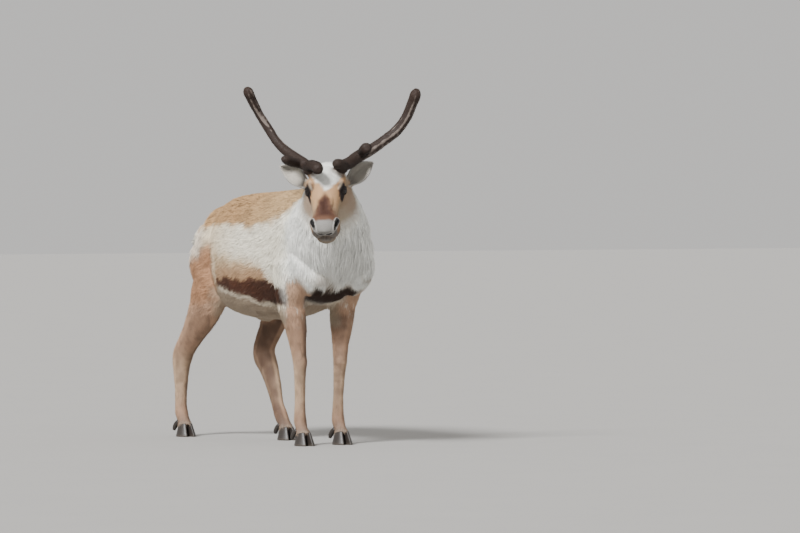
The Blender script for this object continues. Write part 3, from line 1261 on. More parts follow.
def surface(name, size, contrast, roughness, bump, stretch=1.0, **constants):
    """A material whose colour is the coat_colour attribute under a fine grain."""
    material = bpy.data.materials.new(name)
    material.use_nodes = True
    nodes, link = material.node_tree.nodes, material.node_tree.links.new
    shader = nodes["Principled BSDF"]
    tone = nodes.new("ShaderNodeAttribute")
    tone.attribute_name = "coat_colour"
    grain = nodes.new("ShaderNodeGroup")
    grain.node_tree = grain_group()
    for socket, value in (("Size", size), ("Contrast", contrast), ("Roughness", roughness), ("Bump", bump), ("Stretch", stretch)):
        grain.inputs[socket].default_value = value
    link(tone.outputs["Color"], grain.inputs["Colour"])
    link(grain.outputs["Colour"], shader.inputs["Base Color"])
    link(grain.outputs["Roughness"], shader.inputs["Roughness"])
    link(grain.outputs["Normal"], shader.inputs["Normal"])
    for socket, value in constants.items():
        shader.inputs[socket.replace("_", " ")].default_value = value
    return material


def shown(name, mesh, material, nodes=()):
    """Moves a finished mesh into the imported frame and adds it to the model."""
    mesh.transform(Matrix.Translation(SHIFT))
    mesh.materials.clear()
    mesh.materials.append(material)
    mesh.shade_smooth()
    mesh.name = name
    obj = bpy.data.objects.new(name, mesh)
    bpy.context.scene.collection.objects.link(obj)
    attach(obj, "root")
    if nodes:
        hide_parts(*nodes)
    return obj


def skin_arrays():
    """The finished skin's vertices, triangles and normals, in the working frame."""
    skin = bpy.data.objects.get("skin")
    if skin is None:
        raise RuntimeError("the skin is built before its coat")
    spots, faces = arrays_of(skin.data)
    spots = spots - np.array(SHIFT)
    return spots, faces, normals_of(spots, faces)


class ReindeerCoatSettings(bpy.types.PropertyGroup):
    """Sizes and colours of the skin and its coat."""

    length: FloatProperty(name="Body hair", description="Length of the hair on the trunk", default=0.034, unit="LENGTH")
    thickness: FloatProperty(name="Thickness", description="How many tufts grow, against the usual number", default=1.0, min=0.1, max=1.1)
    seed: IntProperty(name="Seed", description="Which of the chance layouts of tufts is grown", default=5)
    white: FloatVectorProperty(name="White", description="Colour of neck, flank and forehead", default=(0.86, 0.85, 0.80), subtype="COLOR")
    back: FloatVectorProperty(name="Back", description="Colour of the saddle", default=(0.46, 0.275, 0.130), subtype="COLOR")
    band: FloatVectorProperty(name="Flank band", description="Colour of the low flank band", default=(0.082, 0.030, 0.015), subtype="COLOR")
    legs: FloatVectorProperty(name="Legs", description="Colour of the legs", default=(0.50, 0.31, 0.20), subtype="COLOR")
    face: FloatVectorProperty(name="Face", description="Colour of the face before the eyes", default=(0.50, 0.30, 0.155), subtype="COLOR")
    bridge: FloatVectorProperty(name="Bridge", description="Colour of the bridge of the nose", default=(0.046, 0.015, 0.008), subtype="COLOR")


# Settings that the markings are painted with
LOOK = {}


def read_look(scene):
    """Takes the coat's settings from the scene."""
    settings = scene.reindeer_coat
    LOOK["length"] = settings.length
    for name in ("white", "back", "band", "legs", "face", "bridge"):
        LOOK[name] = np.array(tuple(getattr(settings, name)))


class ReindeerHornSettings(bpy.types.PropertyGroup):
    """Colours and sizes of antlers, hooves and eyes."""

    velvet: FloatVectorProperty(name="Velvet", description="Colour of the antlers' velvet", default=(0.020, 0.0095, 0.0055), subtype="COLOR")
    pale: FloatVectorProperty(name="Pale streaks", description="Colour of the velvet's pale streaks", default=(0.22, 0.18, 0.155), subtype="COLOR")
    pile: FloatProperty(name="Pile", description="Length of the velvet's pile", default=0.0042, unit="LENGTH")
    hoof: FloatVectorProperty(name="Hoof", description="Colour of the hooves", default=(0.024, 0.019, 0.016), subtype="COLOR")
    iris: FloatVectorProperty(name="Iris", description="Colour of the iris", default=(0.014, 0.007, 0.004), subtype="COLOR")


class ReindeerStageSettings(bpy.types.PropertyGroup):
    """The floor, the light and the camera."""

    floor: FloatVectorProperty(name="Floor", description="Colour of floor and surroundings", default=(0.375, 0.366, 0.352), subtype="COLOR")
    surround: FloatVectorProperty(name="Surround", description="Colour of the light all round", default=(0.66, 0.65, 0.635), subtype="COLOR")
    key: FloatProperty(name="Key light", description="Strength of the key light", default=6.0)
    fill: FloatProperty(name="Fill light", description="Strength of the fill light", default=0.5)
    distance: FloatProperty(name="Camera distance", description="From the camera to the animal", default=28.0, unit="LENGTH")


class REINDEER_OT_skin(bpy.types.Operator):
    """Grow the skin of the whole body and paint its markings."""

    bl_idname = "reindeer.skin"
    bl_label = "Skin"

    def execute(self, context):
        read_look(context.scene)
        skin = body_skin()
        boolean(skin, head_skin(), "UNION", "MANIFOLD")
        keep_largest(skin)
        spots, faces = arrays_of(skin.data)
        bpy.data.objects.remove(skin)
        seam = smooth(0.022, 0.006, np.abs(beyond(spots, HEAD_PLANE)))
        spots = averaged(spots, faces, 14, seam)
        normals = unit(averaged(normals_of(spots, faces), faces, 8))
        head = in_head(spots)
        for line, width, rise in FOLDS:
            for side in SIDES.values():
                away = line_distance(head, [(x, y * side, z) for x, y, z in line])
                spots = spots + normals * (rise * np.exp(-((away / width) ** 2)))[:, None]
                if line[0][1] == 0:
                    break
        spots = spots - normals * coat_depth(spots)[:, None]
        spots = averaged(spots, faces, 2, smooth(0.02, -0.02, beyond(spots, HEAD_PLANE)))
        if len(faces) >= 200_000:
            raise RuntimeError(f"the skin has {len(faces)} triangles")
        mesh = mesh_of("skin", spots, faces)
        shade = 0.90 + 0.10 * (beyond(spots, HEAD_PLANE) > 0) * smooth(0.15, 0.19, head[:, 0])
        paint(mesh, markings(spots) * shade[:, None])
        material = surface("skin_hide", 0.0025, 0.22, 0.78, 0.5)
        shown("skin", mesh, material, BODY_NODES)
        return {"FINISHED"}


def clear_of_openings(spots, normals):
    """Which spots may carry hair: not inside eyes, nostrils or mouth, nor on cut ends."""
    head = in_head(spots)
    free = ~((spots[:, 2] < 0.062) & (normals[:, 2] < -0.55))
    for side in SIDES.values():
        away = np.linalg.norm(head - np.array(EYE_PLACE) * (1, side, 1), axis=1)
        free &= away > EYE_RADIUS + 0.0022
        line = [(x, y * side, z) for x, y, z, _ in NOSTRIL]
        free &= line_distance(head, line) > 0.0105
        top = np.array(on_head(*PEDICLE, side))
        free &= np.linalg.norm(spots - top - np.array(head_way(PEDICLE_LIE, side)) * 0.012, axis=1) > 0.029
    line = [*MOUTH_LINE, *((x, -y, z) for x, y, z in reversed(MOUTH_LINE))]
    free &= line_distance(head, line) > 0.0048
    return free


# Pieces of the coat: region, tufts, width share of length, narrowest, widest, inner rings, lift, sag, splits
COAT_PIECES = {
    "coat_trunk": ("torso", 55000, 0.090, 0.0016, 0.0036, 1, 0.30, 0.02, 3),
    "coat_neck": ("neck", 31000, 0.052, 0.0018, 0.0034, 1, 0.30, 0.08, 2),
    "coat_head": ("head", 62000, 0.120, 0.0008, 0.0017, 0, 0.50, 0.0, 2),
    "coat_legs": ("legs", 62000, 0.105, 0.0010, 0.0022, 0, 0.50, 0.0, 2),
    "coat_tail": ("tail", 1600, 0.070, 0.0020, 0.0040, 2, 0.30, 0.10, 1),
}


class REINDEER_OT_coat(bpy.types.Operator):
    """Grow the tufts of the coat from the skin."""

    bl_idname = "reindeer.coat"
    bl_label = "Coat"

    def execute(self, context):
        settings = context.scene.reindeer_coat
        read_look(context.scene)
        spots, faces, normals = skin_arrays()
        middles = spots[faces].mean(axis=1)
        face_normals = unit(normals[faces].mean(axis=1))
        region = region_of(middles)
        free = clear_of_openings(middles, face_normals)
        material = surface("coat_hair", 0.004, 0.12, 0.72, 0.2, Specular_IOR_Level=0.3)
        for number, (name, row) in enumerate(COAT_PIECES.items()):
            kind, count, share, narrow, wide, inner, lift, sag, splits = row
            draw = np.random.default_rng(settings.seed + number)
            length = hair_length(middles)
            width = np.clip(length * share, narrow, wide)
            weight = (region == REGIONS.index(kind)) * free / (length * width) ** 0.8
            if kind == "tail":
                spine = (Vector(TAIL[-1][0]) - Vector(TAIL[1][0])).normalized()
                weight = weight * (np.abs(face_normals @ np.array(spine)) < 0.8)
            count = int(count * settings.thickness)
            chosen, shares = scattered(spots, faces, weight, count, draw)
            corners = faces[chosen]
            roots = np.einsum("nk,nkc->nc", shares, spots[corners])
            normal = unit(np.einsum("nk,nkc->nc", shares, normals[corners]))
            lengths = hair_length(roots) * draw.uniform(0.72, 1.22, count)
            widths = np.clip(lengths * share, narrow, wide) * draw.uniform(0.8, 1.25, count)
            lumps = noise(roots, 0.030, 30) + 0.6 * noise(roots, 0.012, 31)
            lifts = lift * (1 + 0.45 * lumps) + draw.uniform(-0.06, 0.06, count)
            ways = lie_of(roots, normal) + draw.normal(0, 0.10, (count, 3))
            ways = unit(ways - normal * np.sum(ways * normal, axis=1, keepdims=True))
            tones = markings(roots) * (1 + 0.08 * lumps + draw.normal(0, 0.055, count))[:, None]
            order = np.argsort(roots[:, 1], kind="stable")
            for part, rows in enumerate(np.array_split(order, splits)):
                label = f"{name}_{part + 1}" if splits > 1 else name
                mesh = tufts(
                    label, roots[rows], normal[rows], ways[rows], lengths[rows], widths[rows],
                    np.clip(lifts[rows], 0.08, 0.7), tones[rows], inner, sag,
                    soft=0.15 if kind == "tail" else 0.75,
                )
                shown(label, mesh, material)
        return {"FINISHED"}


def ear_mesh(side):
    """A thin leaf-shaped trough, with its inner face grey and its outer face pale."""
    rows, columns = 34, 31
    lie = np.array(head_way(EAR_LIE, side))
    mouth = np.array(head_way(EAR_MOUTH, side))
    mouth = mouth - lie * (mouth @ lie)
    mouth /= np.linalg.norm(mouth)
    across = np.cross(lie, mouth)
    root = np.array(on_head(*EAR_ROOT, side))
    spots = []
    for layer in (0, 1):
        for share, radius, half_angle in curve_through(EAR_ARCS, rows):
            back = EAR_BULGE * math.sin(math.pi * share) - EAR_SINK
            centre = root + lie * (share * EAR_LENGTH - 0.012 * (1 - share) ** 3 - EAR_SINK) - mouth * back
            wall = (0.0009 + 0.0008 * (1 - share)) * (1 if layer == 0 else -1)
            for k in range(columns):
                angle = math.radians(half_angle) * (2 * k / (columns - 1) - 1)
                inward = mouth * math.cos(angle) - across * math.sin(angle)
                rim = 1 - abs(2 * k / (columns - 1) - 1) ** 6
                spots.append(centre - inward * (radius + wall * max(rim, 0.12)))
    spots = np.array(spots)
    faces = []
    size = rows * columns

    def quad(a, b, c, d):
        faces.extend([(a, b, c), (a, c, d)])

    for i in range(rows - 1):
        for k in range(columns - 1):
            a = i * columns + k
            quad(a, a + 1, a + columns + 1, a + columns)
            quad(size + a, size + a + columns, size + a + columns + 1, size + a + 1)
    for i in range(rows - 1):
        a, b = i * columns, i * columns + columns - 1
        quad(a, a + columns, size + a + columns, size + a)
        quad(b + columns, b, size + b, size + b + columns)
    for k in range(columns - 1):
        a, b = k, (rows - 1) * columns + k
        quad(a + 1, a, size + a, size + a + 1)
        quad(b, b + 1, size + b + 1, size + b)
    return spots, np.array(faces), (lie, mouth, across, root)


def outward(spots, faces):
    """Faces turned so that the closed surface faces out."""
    a, b, c = (spots[faces[:, k]] for k in range(3))
    volume = np.einsum("nc,nc->", a, np.cross(b, c))
    return faces if volume > 0 else faces[:, ::-1]


class REINDEER_OT_ears(bpy.types.Operator):
    """Shape the ears, with fur outside and long pale hairs inside."""

    bl_idname = "reindeer.ears"
    bl_label = "Ears"

    def execute(self, context):
        skin = surface("ear_hide", 0.0020, 0.2, 0.75, 0.4)
        hair = surface("ear_hair", 0.003, 0.12, 0.70, 0.2, Specular_IOR_Level=0.3)
        for name, side in SIDES.items():
            draw = np.random.default_rng(40 + side)
            spots, faces, (lie, mouth, across, root) = ear_mesh(side)
            faces = outward(spots, faces)
            normals = normals_of(spots, faces)
            share = np.clip((spots - root) @ lie / EAR_LENGTH, 0, 1)
            half = len(spots) // 2
            outer = np.arange(len(spots)) < half
            tone = mixed(np.tile((0.46, 0.38, 0.30), (len(spots), 1)), (0.60, 0.56, 0.50), share)
            inner = mixed(np.tile((0.12, 0.09, 0.070), (len(spots), 1)), (0.58, 0.53, 0.44), smooth(0.05, 0.34, share))
            tone = np.where(outer[:, None], tone, inner)
            edge = np.tile(np.abs(np.linspace(-1, 1, 31)), 68)
            tone = mixed(tone, (0.62, 0.59, 0.54), smooth(0.82, 0.97, edge) * 0.8)
            mesh = mesh_of(f"ear_shape_{name}", spots, faces)
            paint(mesh, tone)
            shown(f"ear_shape_{name}", mesh, skin, [f"ear_{name}"])
            middles = spots[faces].mean(axis=1)
            on_outer = np.all(faces < half, axis=1)
            on_inner = np.all(faces >= half, axis=1)
            rim = edge[faces].mean(axis=1) > 0.86
            for label, mask, count, length, width, lift in (
                ("back", on_outer, 7000, 0.011, 0.0012, 0.50),
                ("cup", on_inner, 5200, 0.012, 0.0008, 0.70),
                ("rim", rim & (share[faces].mean(axis=1) > 0.12), 3200, 0.012, 0.0008, 0.80),
            ):
                chosen, shares = scattered(spots, faces, mask.astype(float), count, draw)
                corners = faces[chosen]
                roots = np.einsum("nk,nkc->nc", shares, spots[corners])
                normal = unit(np.einsum("nk,nkc->nc", shares, normals[corners]))
                ways = np.tile(lie, (count, 1)) + draw.normal(0, 0.16, (count, 3))
                inwards = np.sign((roots - root) @ across)[:, None] * across
                if label != "back":
                    ways = ways - inwards * 0.55
                ways = unit(ways - normal * np.sum(ways * normal, axis=1, keepdims=True))
                tones = np.einsum("nk,nkc->nc", shares, tone[corners])
                if label != "back":
                    tones = mixed(tones, (0.60, 0.57, 0.52), np.full(count, 0.75))
                tones = tones * (1 + draw.normal(0, 0.08, count))[:, None]
                lengths = length * draw.uniform(0.7, 1.25, count) * (0.75 + 0.4 * np.sin(np.clip(((roots - root) @ lie) / EAR_LENGTH, 0, 1) * 2.6))
                mesh = tufts(
                    f"ear_{label}_{name}", roots, normal, ways, lengths,
                    width * draw.uniform(0.8, 1.2, count), np.full(count, lift), tones, 0, soft=0.15,
                )
                shown(f"ear_fur_{label}_{name}", mesh, hair)
        return {"FINISHED"}


def antler_skin(side_name):
    """One antler grown together from burr, beam and tines, with swollen velvet."""
    side = SIDES[side_name]
    sizes = ANTLERS[side_name]
    base, way = on_head(*PEDICLE, side), head_way(PEDICLE_LIE, side)
    foot = [(base + way * reach, sizes["beam"][0][1]) for reach in (-0.012, 0.012)]
    forms = [tube("beam", foot + sizes["beam"][1:], sides=32, rings=70)]
    forms.append(tube("burr", [(base + way * height, radius) for height, radius in BURR], sides=32, rings=12))
    forms += [tube(tine, sizes[tine], sides=28, rings=26) for tine in ("brow_tine", "bez_tine")]
    whole = fused("antler", forms, 0.0018, 5, 44000)
    spots, faces = arrays_of(whole.data)
    bpy.data.objects.remove(whole)
    return spots, faces


def along_antler(spots, sizes):
    """For each spot, how far along its branch it is, and the branch's way there."""
    best = np.full(len(spots), 9.0)
    reach = np.zeros(len(spots))
    ways = np.zeros((len(spots), 3))
    for points in sizes.values():
        line = curve_through([tuple(p) for p, _ in points], 60)
        steps = np.gradient(line, axis=0)
        length = np.concatenate([[0], np.cumsum(np.linalg.norm(np.diff(line, axis=0), axis=1))])
        for row in range(len(line)):
            away = np.linalg.norm(spots - line[row], axis=1)
            nearer = away < best
            best = np.where(nearer, away, best)
            reach = np.where(nearer, length[row], reach)
            ways[nearer] = steps[row]
    return reach, unit(ways)


class REINDEER_OT_antlers(bpy.types.Operator):
    """Shape the antlers in velvet, with their pile."""

    bl_idname = "reindeer.antlers"
    bl_label = "Antlers"

    def execute(self, context):
        settings = context.scene.reindeer_horn
        hide = surface("velvet_hide", 0.0030, 0.25, 0.72, 0.6)
        hair = surface("velvet_pile", 0.0020, 0.15, 0.70, 0.2, Specular_IOR_Level=0.3)
        for number, (name, sizes) in enumerate(ANTLERS.items()):
            draw = np.random.default_rng(60 + number)
            spots, faces = antler_skin(name)
            normals = unit(averaged(normals_of(spots, faces), faces, 3))
            reach, ways = along_antler(spots, sizes)
            # Lumps drawn out along the branch
            swell = 0.0009 * noise(spots, 0.030, 50) + 0.0006 * noise(spots, 0.011, 51)
            ribs = noise(np.stack([normals @ np.array([1.0, 0.3, 0.2]), normals @ np.array([-0.2, 1.0, 0.4]), reach * 1.1], axis=1), 0.42, 52)
            swell = swell + 0.0006 * ribs - 0.0010
            spots = spots + normals * swell[:, None]
            tine_tips = [sizes[tine][-1][0] for tine in ("brow_tine", "bez_tine")]
            near_tine = np.min([np.linalg.norm(spots - np.array(tip), axis=1) for tip in tine_tips], axis=0)
            streak = smooth(0.40, 0.75, ribs + 0.25 * noise(spots, 0.012, 53)) * smooth(0.05, 0.12, reach)
            streak = streak * smooth(0.05, 0.09, near_tine)
            tone = np.tile(tuple(settings.velvet), (len(spots), 1))
            tone = mixed(tone, tuple(settings.pale), streak * 0.75)
            tip = smooth(0.85, 1.0, reach / max(reach.max(), 1e-6))
            tone = mixed(tone, np.array(tuple(settings.velvet)) * 1.5, tip * 0.5)
            mesh = mesh_of("antler", spots, faces)
            paint(mesh, tone)
            nodes = [f"antler_{name}_{part}" for part in ("beam_lower", "beam_upper", "brow_tine", "bez_tine")]
            shown(f"antler_velvet_{name}", mesh, hide, nodes)
            normals = normals_of(spots, faces)
            count = 22000
            chosen, shares = scattered(spots, faces, np.ones(len(faces)), count, draw)
            corners = faces[chosen]
            roots = np.einsum("nk,nkc->nc", shares, spots[corners])
            normal = unit(np.einsum("nk,nkc->nc", shares, normals[corners]))
            lie = np.einsum("nk,nkc->nc", shares, ways[corners]) + draw.normal(0, 0.35, (count, 3))
            lie = unit(lie - normal * np.sum(lie * normal, axis=1, keepdims=True))
            tones = np.einsum("nk,nkc->nc", shares, tone[corners]) * (1.15 + draw.normal(0, 0.15, count))[:, None]
            mesh = tufts(
                "pile", roots, normal, lie, settings.pile * draw.uniform(0.7, 1.3, count),
                0.0007 * draw.uniform(0.8, 1.3, count), draw.uniform(0.9, 1.6, count), tones, 0,
            )
            shown(f"antler_pile_{name}", mesh, hair)
        return {"FINISHED"}


class REINDEER_OT_eyes(bpy.types.Operator):
    """Make the eyes: a dark iris with a lying pupil under a clear bulge."""

    bl_idname = "reindeer.eyes"
    bl_label = "Eyes"

    def execute(self, context):
        iris = tuple(context.scene.reindeer_horn.iris)
        wet = surface("eye_wet", 0.004, 0.10, 0.09, 0.02, Specular_IOR_Level=0.35)
        for name, side in SIDES.items():
            mesh = bmesh.new()
            bmesh.ops.create_uvsphere(mesh, u_segments=96, v_segments=64, radius=EYE_RADIUS)
            look = head_way(EYE_LOOK, side)
            level = head_way((0.94, -0.35, -0.10), side)
            level = (level - look * level.dot(look)).normalized()
            turn = Matrix((level, look.cross(level), look)).transposed().to_4x4()
            bmesh.ops.triangulate(mesh, faces=mesh.faces)
            data = bpy.data.meshes.new(f"eye_ball_{name}")
            mesh.to_mesh(data)
            mesh.free()
            spots, faces = arrays_of(data)
            away = np.linalg.norm(spots[:, :2], axis=1) / EYE_RADIUS
            facing = spots[:, 2] > 0
            bulge = 1 + 0.035 * smooth(0.72, 0.30, away) * facing
            tone = np.tile((0.010, 0.007, 0.006), (len(spots), 1))
            ring = smooth(0.74, 0.66, away) * facing
            spokes = 1 + 0.35 * noise(np.stack([np.arctan2(spots[:, 1], spots[:, 0]), away * 0.4, 0 * away], axis=1), 0.10, 70)
            tone = mixed(tone, iris, ring)
            tone = tone * np.where(ring > 0.5, spokes, 1.0)[:, None]
            pupil = np.sqrt((spots[:, 0] / 0.0085) ** 2 + (spots[:, 1] / 0.0042) ** 2)
            tone = mixed(tone, (0.002, 0.002, 0.003), smooth(1.1, 0.9, pupil) * facing)
            place = Matrix.Translation(on_head(*EYE_PLACE, side)) @ turn
            spots = spots * bulge[:, None]
            spots = spots @ np.array(place.to_3x3()).T + np.array(place.translation)
            bpy.data.meshes.remove(data)
            mesh = mesh_of(f"eye_ball_{name}", spots, outward(spots - spots.mean(axis=0), faces))
            paint(mesh, tone)
            shown(f"eye_ball_{name}", mesh, wet, [f"eye_{name}"])
        return {"FINISHED"}


def fine_claw(foot, outward_sign, spread=7):
    """One claw as a closed mesh of many rings, with growth rings standing out a little."""
    rings, sides = 22, 44
    centre, way = coronet_plane(foot)
    spots = []
    for step in range(rings):
        rise = step / (rings - 1)
        scale = 1 + (0.64 - 1) * rise**0.9
        scale *= 1 + 0.004 * math.sin(rise * 34) * (1 - rise) - 0.07 * (max(0.0, 0.16 - rise) / 0.16) ** 2
        for k in range(sides):
            angle = 2 * math.pi * k / sides
            along = math.cos(angle) * CLAW_LENGTH / 2 * scale
            across = math.sin(angle)
            across *= CLAW_WIDTH * scale * (0.66 if across > 0 else 0.34)
            toe = max(along / (CLAW_LENGTH / 2), 0)
            across = across * (1 - 0.45 * toe**2) - 0.006 * toe**2
            x = outward_sign * (0.0022 + CLAW_WIDTH * 0.34 * scale + across)
            y = -along + 0.010 * rise - FOOT_REACH
            turned = Matrix.Rotation(math.radians(spread) * outward_sign, 2) @ Vector((x, y))
            spot = Vector((foot[0] + turned.x, foot[1] + turned.y, 0))
            spot.z = (centre.z - (spot.y - centre.y) * way.y / way.z + 0.004) * rise
            spots.append(spot)
    faces = []
    for step in range(rings - 1):
        for k in range(sides):
            j = (k + 1) % sides
            a, b = step * sides + k, step * sides + j
            faces += [(a, b, b + sides), (a, b + sides, a + sides)]
    low, high = len(spots), len(spots) + 1
    spots = np.array(spots + [sum((Vector(s) for s in spots[:sides]), Vector()) / sides])
    spots = np.vstack([spots, spots[-1 - sides : -1].mean(axis=0)])
    for k in range(sides):
        j = (k + 1) % sides
        faces += [(low, j, k), (high, (rings - 1) * sides + k, (rings - 1) * sides + j)]
    return spots, np.array(faces)


class REINDEER_OT_hooves(bpy.types.Operator):
    """Make the claws and dewclaws of the four feet."""

    bl_idname = "reindeer.hooves"
    bl_label = "Hooves"

    def execute(self, context):
        hoof = np.array(tuple(context.scene.reindeer_horn.hoof))
        horn = surface("hoof_horn", 0.0035, 0.30, 0.42, 0.45, stretch=4.0)
        for leg, (chain, side, y_zero) in LEGS.items():
            foot = foot_centre(chain, side, y_zero)
            for claw_name, outward_sign in (("outer", side), ("inner", -side)):
                spots, faces = fine_claw(foot, outward_sign)
                faces = outward(spots - spots.mean(axis=0), faces)
                spur = tube("spur", [(Vector((foot[0] + x * outward_sign, foot[1] + y, z)), r) for (x, y, z), r in DEWCLAW], sides=24, rings=20)
                spur_spots, spur_faces = arrays_of(spur.data)
                bpy.data.objects.remove(spur)
                for label, points, triangles in (("claw", spots, faces), ("dewclaw", spur_spots, spur_faces)):
                    rings = 0.5 + 0.5 * np.sin(points[:, 2] * 900 + 2 * noise(points, 0.02, 80))
                    tone = np.tile(hoof, (len(points), 1)) * (0.8 + 0.5 * rings)[:, None]
                    tone = mixed(tone, (0.07, 0.055, 0.043), smooth(0.014, 0.0, points[:, 2]) * 0.6)
                    mesh = mesh_of(f"{label}_{leg}_{claw_name}", points, triangles)
                    paint(mesh, tone)
                    shown(f"horn_{leg}_{label}_{claw_name}", mesh, horn, [f"{leg}_{label}_{claw_name}"])
        return {"FINISHED"}


def whisker_tree(material):
    """Geometry Nodes: a thin tapered hair on every point, turned along the point's way."""
    tree = bpy.data.node_groups.new("whiskers", "GeometryNodeTree")
    socket = tree.interface.new_socket
    socket("Points", in_out="INPUT", socket_type="NodeSocketGeometry")
    length = socket("Length", in_out="INPUT", socket_type="NodeSocketFloat")
    thick = socket("Thickness", in_out="INPUT", socket_type="NodeSocketFloat")
    seed = socket("Seed", in_out="INPUT", socket_type="NodeSocketInt")
    socket("Hairs", in_out="OUTPUT", socket_type="NodeSocketGeometry")
    nodes, link = tree.nodes, tree.links.new
    given, made = nodes.new("NodeGroupInput"), nodes.new("NodeGroupOutput")
    hair = nodes.new("GeometryNodeMeshCone")
    hair.inputs["Vertices"].default_value = 5
    hair.inputs["Side Segments"].default_value = 3
    hair.inputs["Radius Top"].default_value = 0.00004
    link(given.outputs["Thickness"], hair.inputs["Radius Bottom"])
    link(given.outputs["Length"], hair.inputs["Depth"])
    way = nodes.new("GeometryNodeInputNamedAttribute")
    way.data_type = "FLOAT_VECTOR"
    way.inputs["Name"].default_value = "way"
    turn = nodes.new("FunctionNodeAlignRotationToVector")
    turn.axis = "Z"
    link(way.outputs["Attribute"], turn.inputs["Vector"])
    vary = nodes.new("FunctionNodeRandomValue")
    vary.inputs[2].default_value, vary.inputs[3].default_value = 0.6, 1.25
    link(given.outputs["Seed"], vary.inputs["Seed"])
    place = nodes.new("GeometryNodeInstanceOnPoints")
    link(given.outputs["Points"], place.inputs["Points"])
    link(hair.outputs["Mesh"], place.inputs["Instance"])
    link(turn.outputs["Rotation"], place.inputs["Rotation"])
    link(vary.outputs[1], place.inputs["Scale"])
    real = nodes.new("GeometryNodeRealizeInstances")
    link(place.outputs["Instances"], real.inputs["Geometry"])
    dye = nodes.new("GeometryNodeSetMaterial")
    dye.inputs["Material"].default_value = material
    link(real.outputs["Geometry"], dye.inputs["Geometry"])
    link(dye.outputs["Geometry"], made.inputs["Hairs"])
    return tree, {"length": length.identifier, "thick": thick.identifier, "seed": seed.identifier}


class REINDEER_OT_whiskers(bpy.types.Operator):
    """Set lashes over the eyes and whiskers on lips and chin."""

    bl_idname = "reindeer.whiskers"
    bl_label = "Whiskers and lashes"

    def execute(self, context):
        spots, faces, normals = skin_arrays()
        head = in_head(spots)
        turn = np.array(HEAD.to_3x3())
        hair = surface("whisker_hair", 0.002, 0.10, 0.40, 0.05)
        for name, length, thickness, tone in (("whiskers", 0.030, 0.00032, 0.05), ("lashes", 0.012, 0.00042, 0.012)):
            draw = np.random.default_rng(90 + len(name))
            if name == "whiskers":
                near = (head[:, 0] > 0.150) & (head[:, 2] < -0.028) & (beyond(spots, HEAD_PLANE) > 0)
                near &= clear_of_openings(spots, normals)
                picks = draw.choice(np.flatnonzero(near), 70, replace=False)
                ways = normals[picks] + np.array([0, 0, -0.5]) + draw.normal(0, 0.15, (70, 3))
            else:
                near = np.zeros(len(spots), bool)
                for side in SIDES.values():
                    centre = np.array(EYE_PLACE) * (1, side, 1)
                    away = head - centre
                    look = np.array(EYE_LOOK) * (1, side, 1)
                    up = np.array([0.1, 0.0, 1.0])
                    up = up - look * (up @ look)
                    radius = np.linalg.norm(away, axis=1)
                    near |= (np.abs(radius - EYE_RADIUS - 0.002) < 0.0012) & (away @ up > 0.005) & (away @ look > 0.006)
                found = np.flatnonzero(near)
                picks = draw.choice(found, min(90, len(found)), replace=False)
                ways = normals[picks] * 0.8 + np.sign(head[picks, 1:2]) * (np.array([0.4, 0.8, 0.25]) * (1, 1, 1) @ turn.T)
            ways = unit(ways)
            mesh = bpy.data.meshes.new(name)
            mesh.from_pydata([tuple(s) for s in spots[picks]], [], [])
            layer = mesh.attributes.new("way", "FLOAT_VECTOR", "POINT")
            layer.data.foreach_set("vector", ways.astype(np.float32).ravel())
            seeds = new_object(name + "_seeds", mesh)
            tree, inputs = whisker_tree(hair)
            grow = seeds.modifiers.new("grow", "NODES")
            grow.node_group = tree
            grow[inputs["length"]] = length
            grow[inputs["thick"]] = thickness
            grow[inputs["seed"]] = 7
            seeds.update_tag()
            graph = bpy.context.evaluated_depsgraph_get()
            made = bpy.data.meshes.new_from_object(seeds.evaluated_get(graph))
            seeds.modifiers.clear()
            bpy.data.objects.remove(seeds)
            if not made.polygons:
                raise RuntimeError(f"no {name} grew")
            paint(made, np.tile((tone, tone * 0.9, tone * 0.85), (len(made.vertices), 1)))
            shown(name, made, hair)
        return {"FINISHED"}


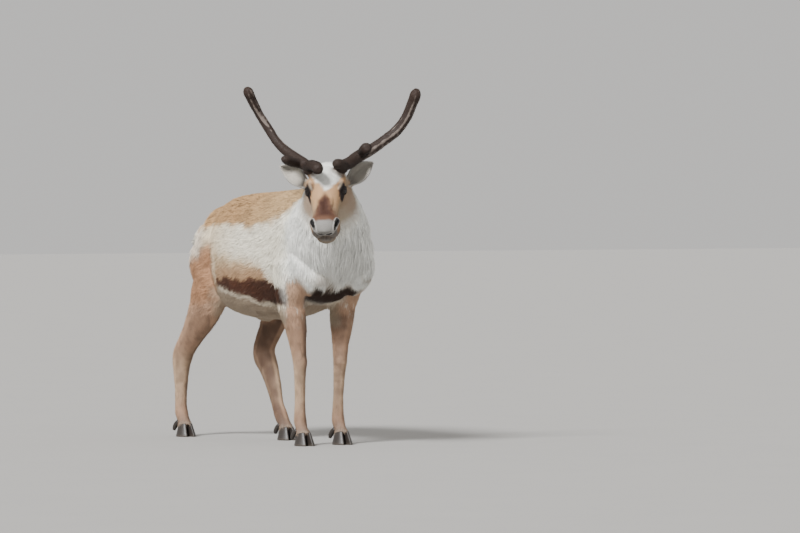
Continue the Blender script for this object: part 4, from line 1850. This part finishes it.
class REINDEER_OT_stage(bpy.types.Operator):
    """Lay the floor, light it softly, and set the camera."""

    bl_idname = "reindeer.stage"
    bl_label = "Floor, light and camera"

    def execute(self, context):
        settings = context.scene.reindeer_stage
        material = bpy.data.materials.new("floor_plain")
        material.use_nodes = True
        nodes, link = material.node_tree.nodes, material.node_tree.links.new
        shader = nodes["Principled BSDF"]
        plain = nodes.new("ShaderNodeRGB")
        plain.outputs["Color"].default_value = (*settings.floor, 1)
        grain = nodes.new("ShaderNodeGroup")
        grain.node_tree = grain_group()
        for socket, value in (("Size", 0.35), ("Contrast", 0.015), ("Roughness", 0.9), ("Bump", 0.02)):
            grain.inputs[socket].default_value = value
        link(plain.outputs["Color"], grain.inputs["Colour"])
        link(grain.outputs["Colour"], shader.inputs["Base Color"])
        link(grain.outputs["Roughness"], shader.inputs["Roughness"])
        link(grain.outputs["Normal"], shader.inputs["Normal"])
        floor = block("floor", Vector((0, 0, -0.0012)), (90, 90, 0.002), (0, 0, 1))
        floor.data.materials.append(material)
        world = bpy.data.worlds.new("studio")
        world.use_nodes = True
        sky = world.node_tree.nodes["Background"]
        sky.inputs["Color"].default_value = (*settings.surround, 1)
        sky.inputs["Strength"].default_value = 1.0
        bpy.context.scene.world = world
        for name, power, spread, turn, rise in (
            ("key", settings.key, 14, -56, 38),
            ("fill", settings.fill, 60, -5, 25),
        ):
            light = bpy.data.lights.new(name, "SUN")
            light.energy = power
            light.angle = math.radians(spread)
            turn, rise = math.radians(turn), math.radians(rise)
            towards = Vector((math.sin(turn) * math.cos(rise), -math.cos(turn) * math.cos(rise), math.sin(rise)))
            lamp = bpy.data.objects.new(name, light)
            lamp.location = towards * 6
            lamp.rotation_euler = (-towards).to_track_quat("-Z", "Y").to_euler()
            bpy.context.scene.collection.objects.link(lamp)
        view = bpy.data.cameras.new("camera")
        view.lens = 308.7
        view.sensor_width = 36
        view.clip_end = 200
        camera = bpy.data.objects.new("camera", view)
        turn, rise = math.radians(-28), math.radians(1)
        right = Vector((math.cos(turn), math.sin(turn), 0))
        target = right * 0.482 + Vector((0, 0, 0.716)) + SHIFT
        away = Vector((math.sin(turn) * math.cos(rise), -math.cos(turn) * math.cos(rise), math.sin(rise)))
        camera.location = target + away * settings.distance
        camera.rotation_euler = (-away).to_track_quat("-Z", "Y").to_euler()
        bpy.context.scene.collection.objects.link(camera)
        bpy.context.scene.camera = camera
        return {"FINISHED"}


STEPS = [
    REINDEER_OT_skin,
    REINDEER_OT_coat,
    REINDEER_OT_ears,
    REINDEER_OT_antlers,
    REINDEER_OT_eyes,
    REINDEER_OT_hooves,
    REINDEER_OT_whiskers,
    REINDEER_OT_stage,
]
SETTINGS = {
    "reindeer_coat": ReindeerCoatSettings,
    "reindeer_horn": ReindeerHornSettings,
    "reindeer_stage": ReindeerStageSettings,
}


class REINDEER_PT_panel(bpy.types.Panel):
    """Settings and steps of the model."""

    bl_label = "Reindeer"
    bl_idname = "REINDEER_PT_panel"
    bl_space_type = "VIEW_3D"
    bl_region_type = "UI"
    bl_category = "Reindeer"

    def draw(self, context):
        for name, kind in SETTINGS.items():
            box = self.layout.box()
            for prop in kind.__annotations__:
                box.prop(getattr(context.scene, name), prop)
        for step in STEPS:
            self.layout.operator(step.bl_idname)


def register():
    for kind in (*SETTINGS.values(), *STEPS, REINDEER_PT_panel):
        bpy.utils.register_class(kind)
    for name, kind in SETTINGS.items():
        setattr(bpy.types.Scene, name, PointerProperty(type=kind))


def unregister():
    for name in SETTINGS:
        delattr(bpy.types.Scene, name)
    for kind in (REINDEER_PT_panel, *reversed(STEPS), *SETTINGS.values()):
        bpy.utils.unregister_class(kind)


def main():
    register()
    for step in STEPS:
        group, name = step.bl_idname.split(".")
        getattr(getattr(bpy.ops, group), name)()


if __name__ == "__main__":
    main()
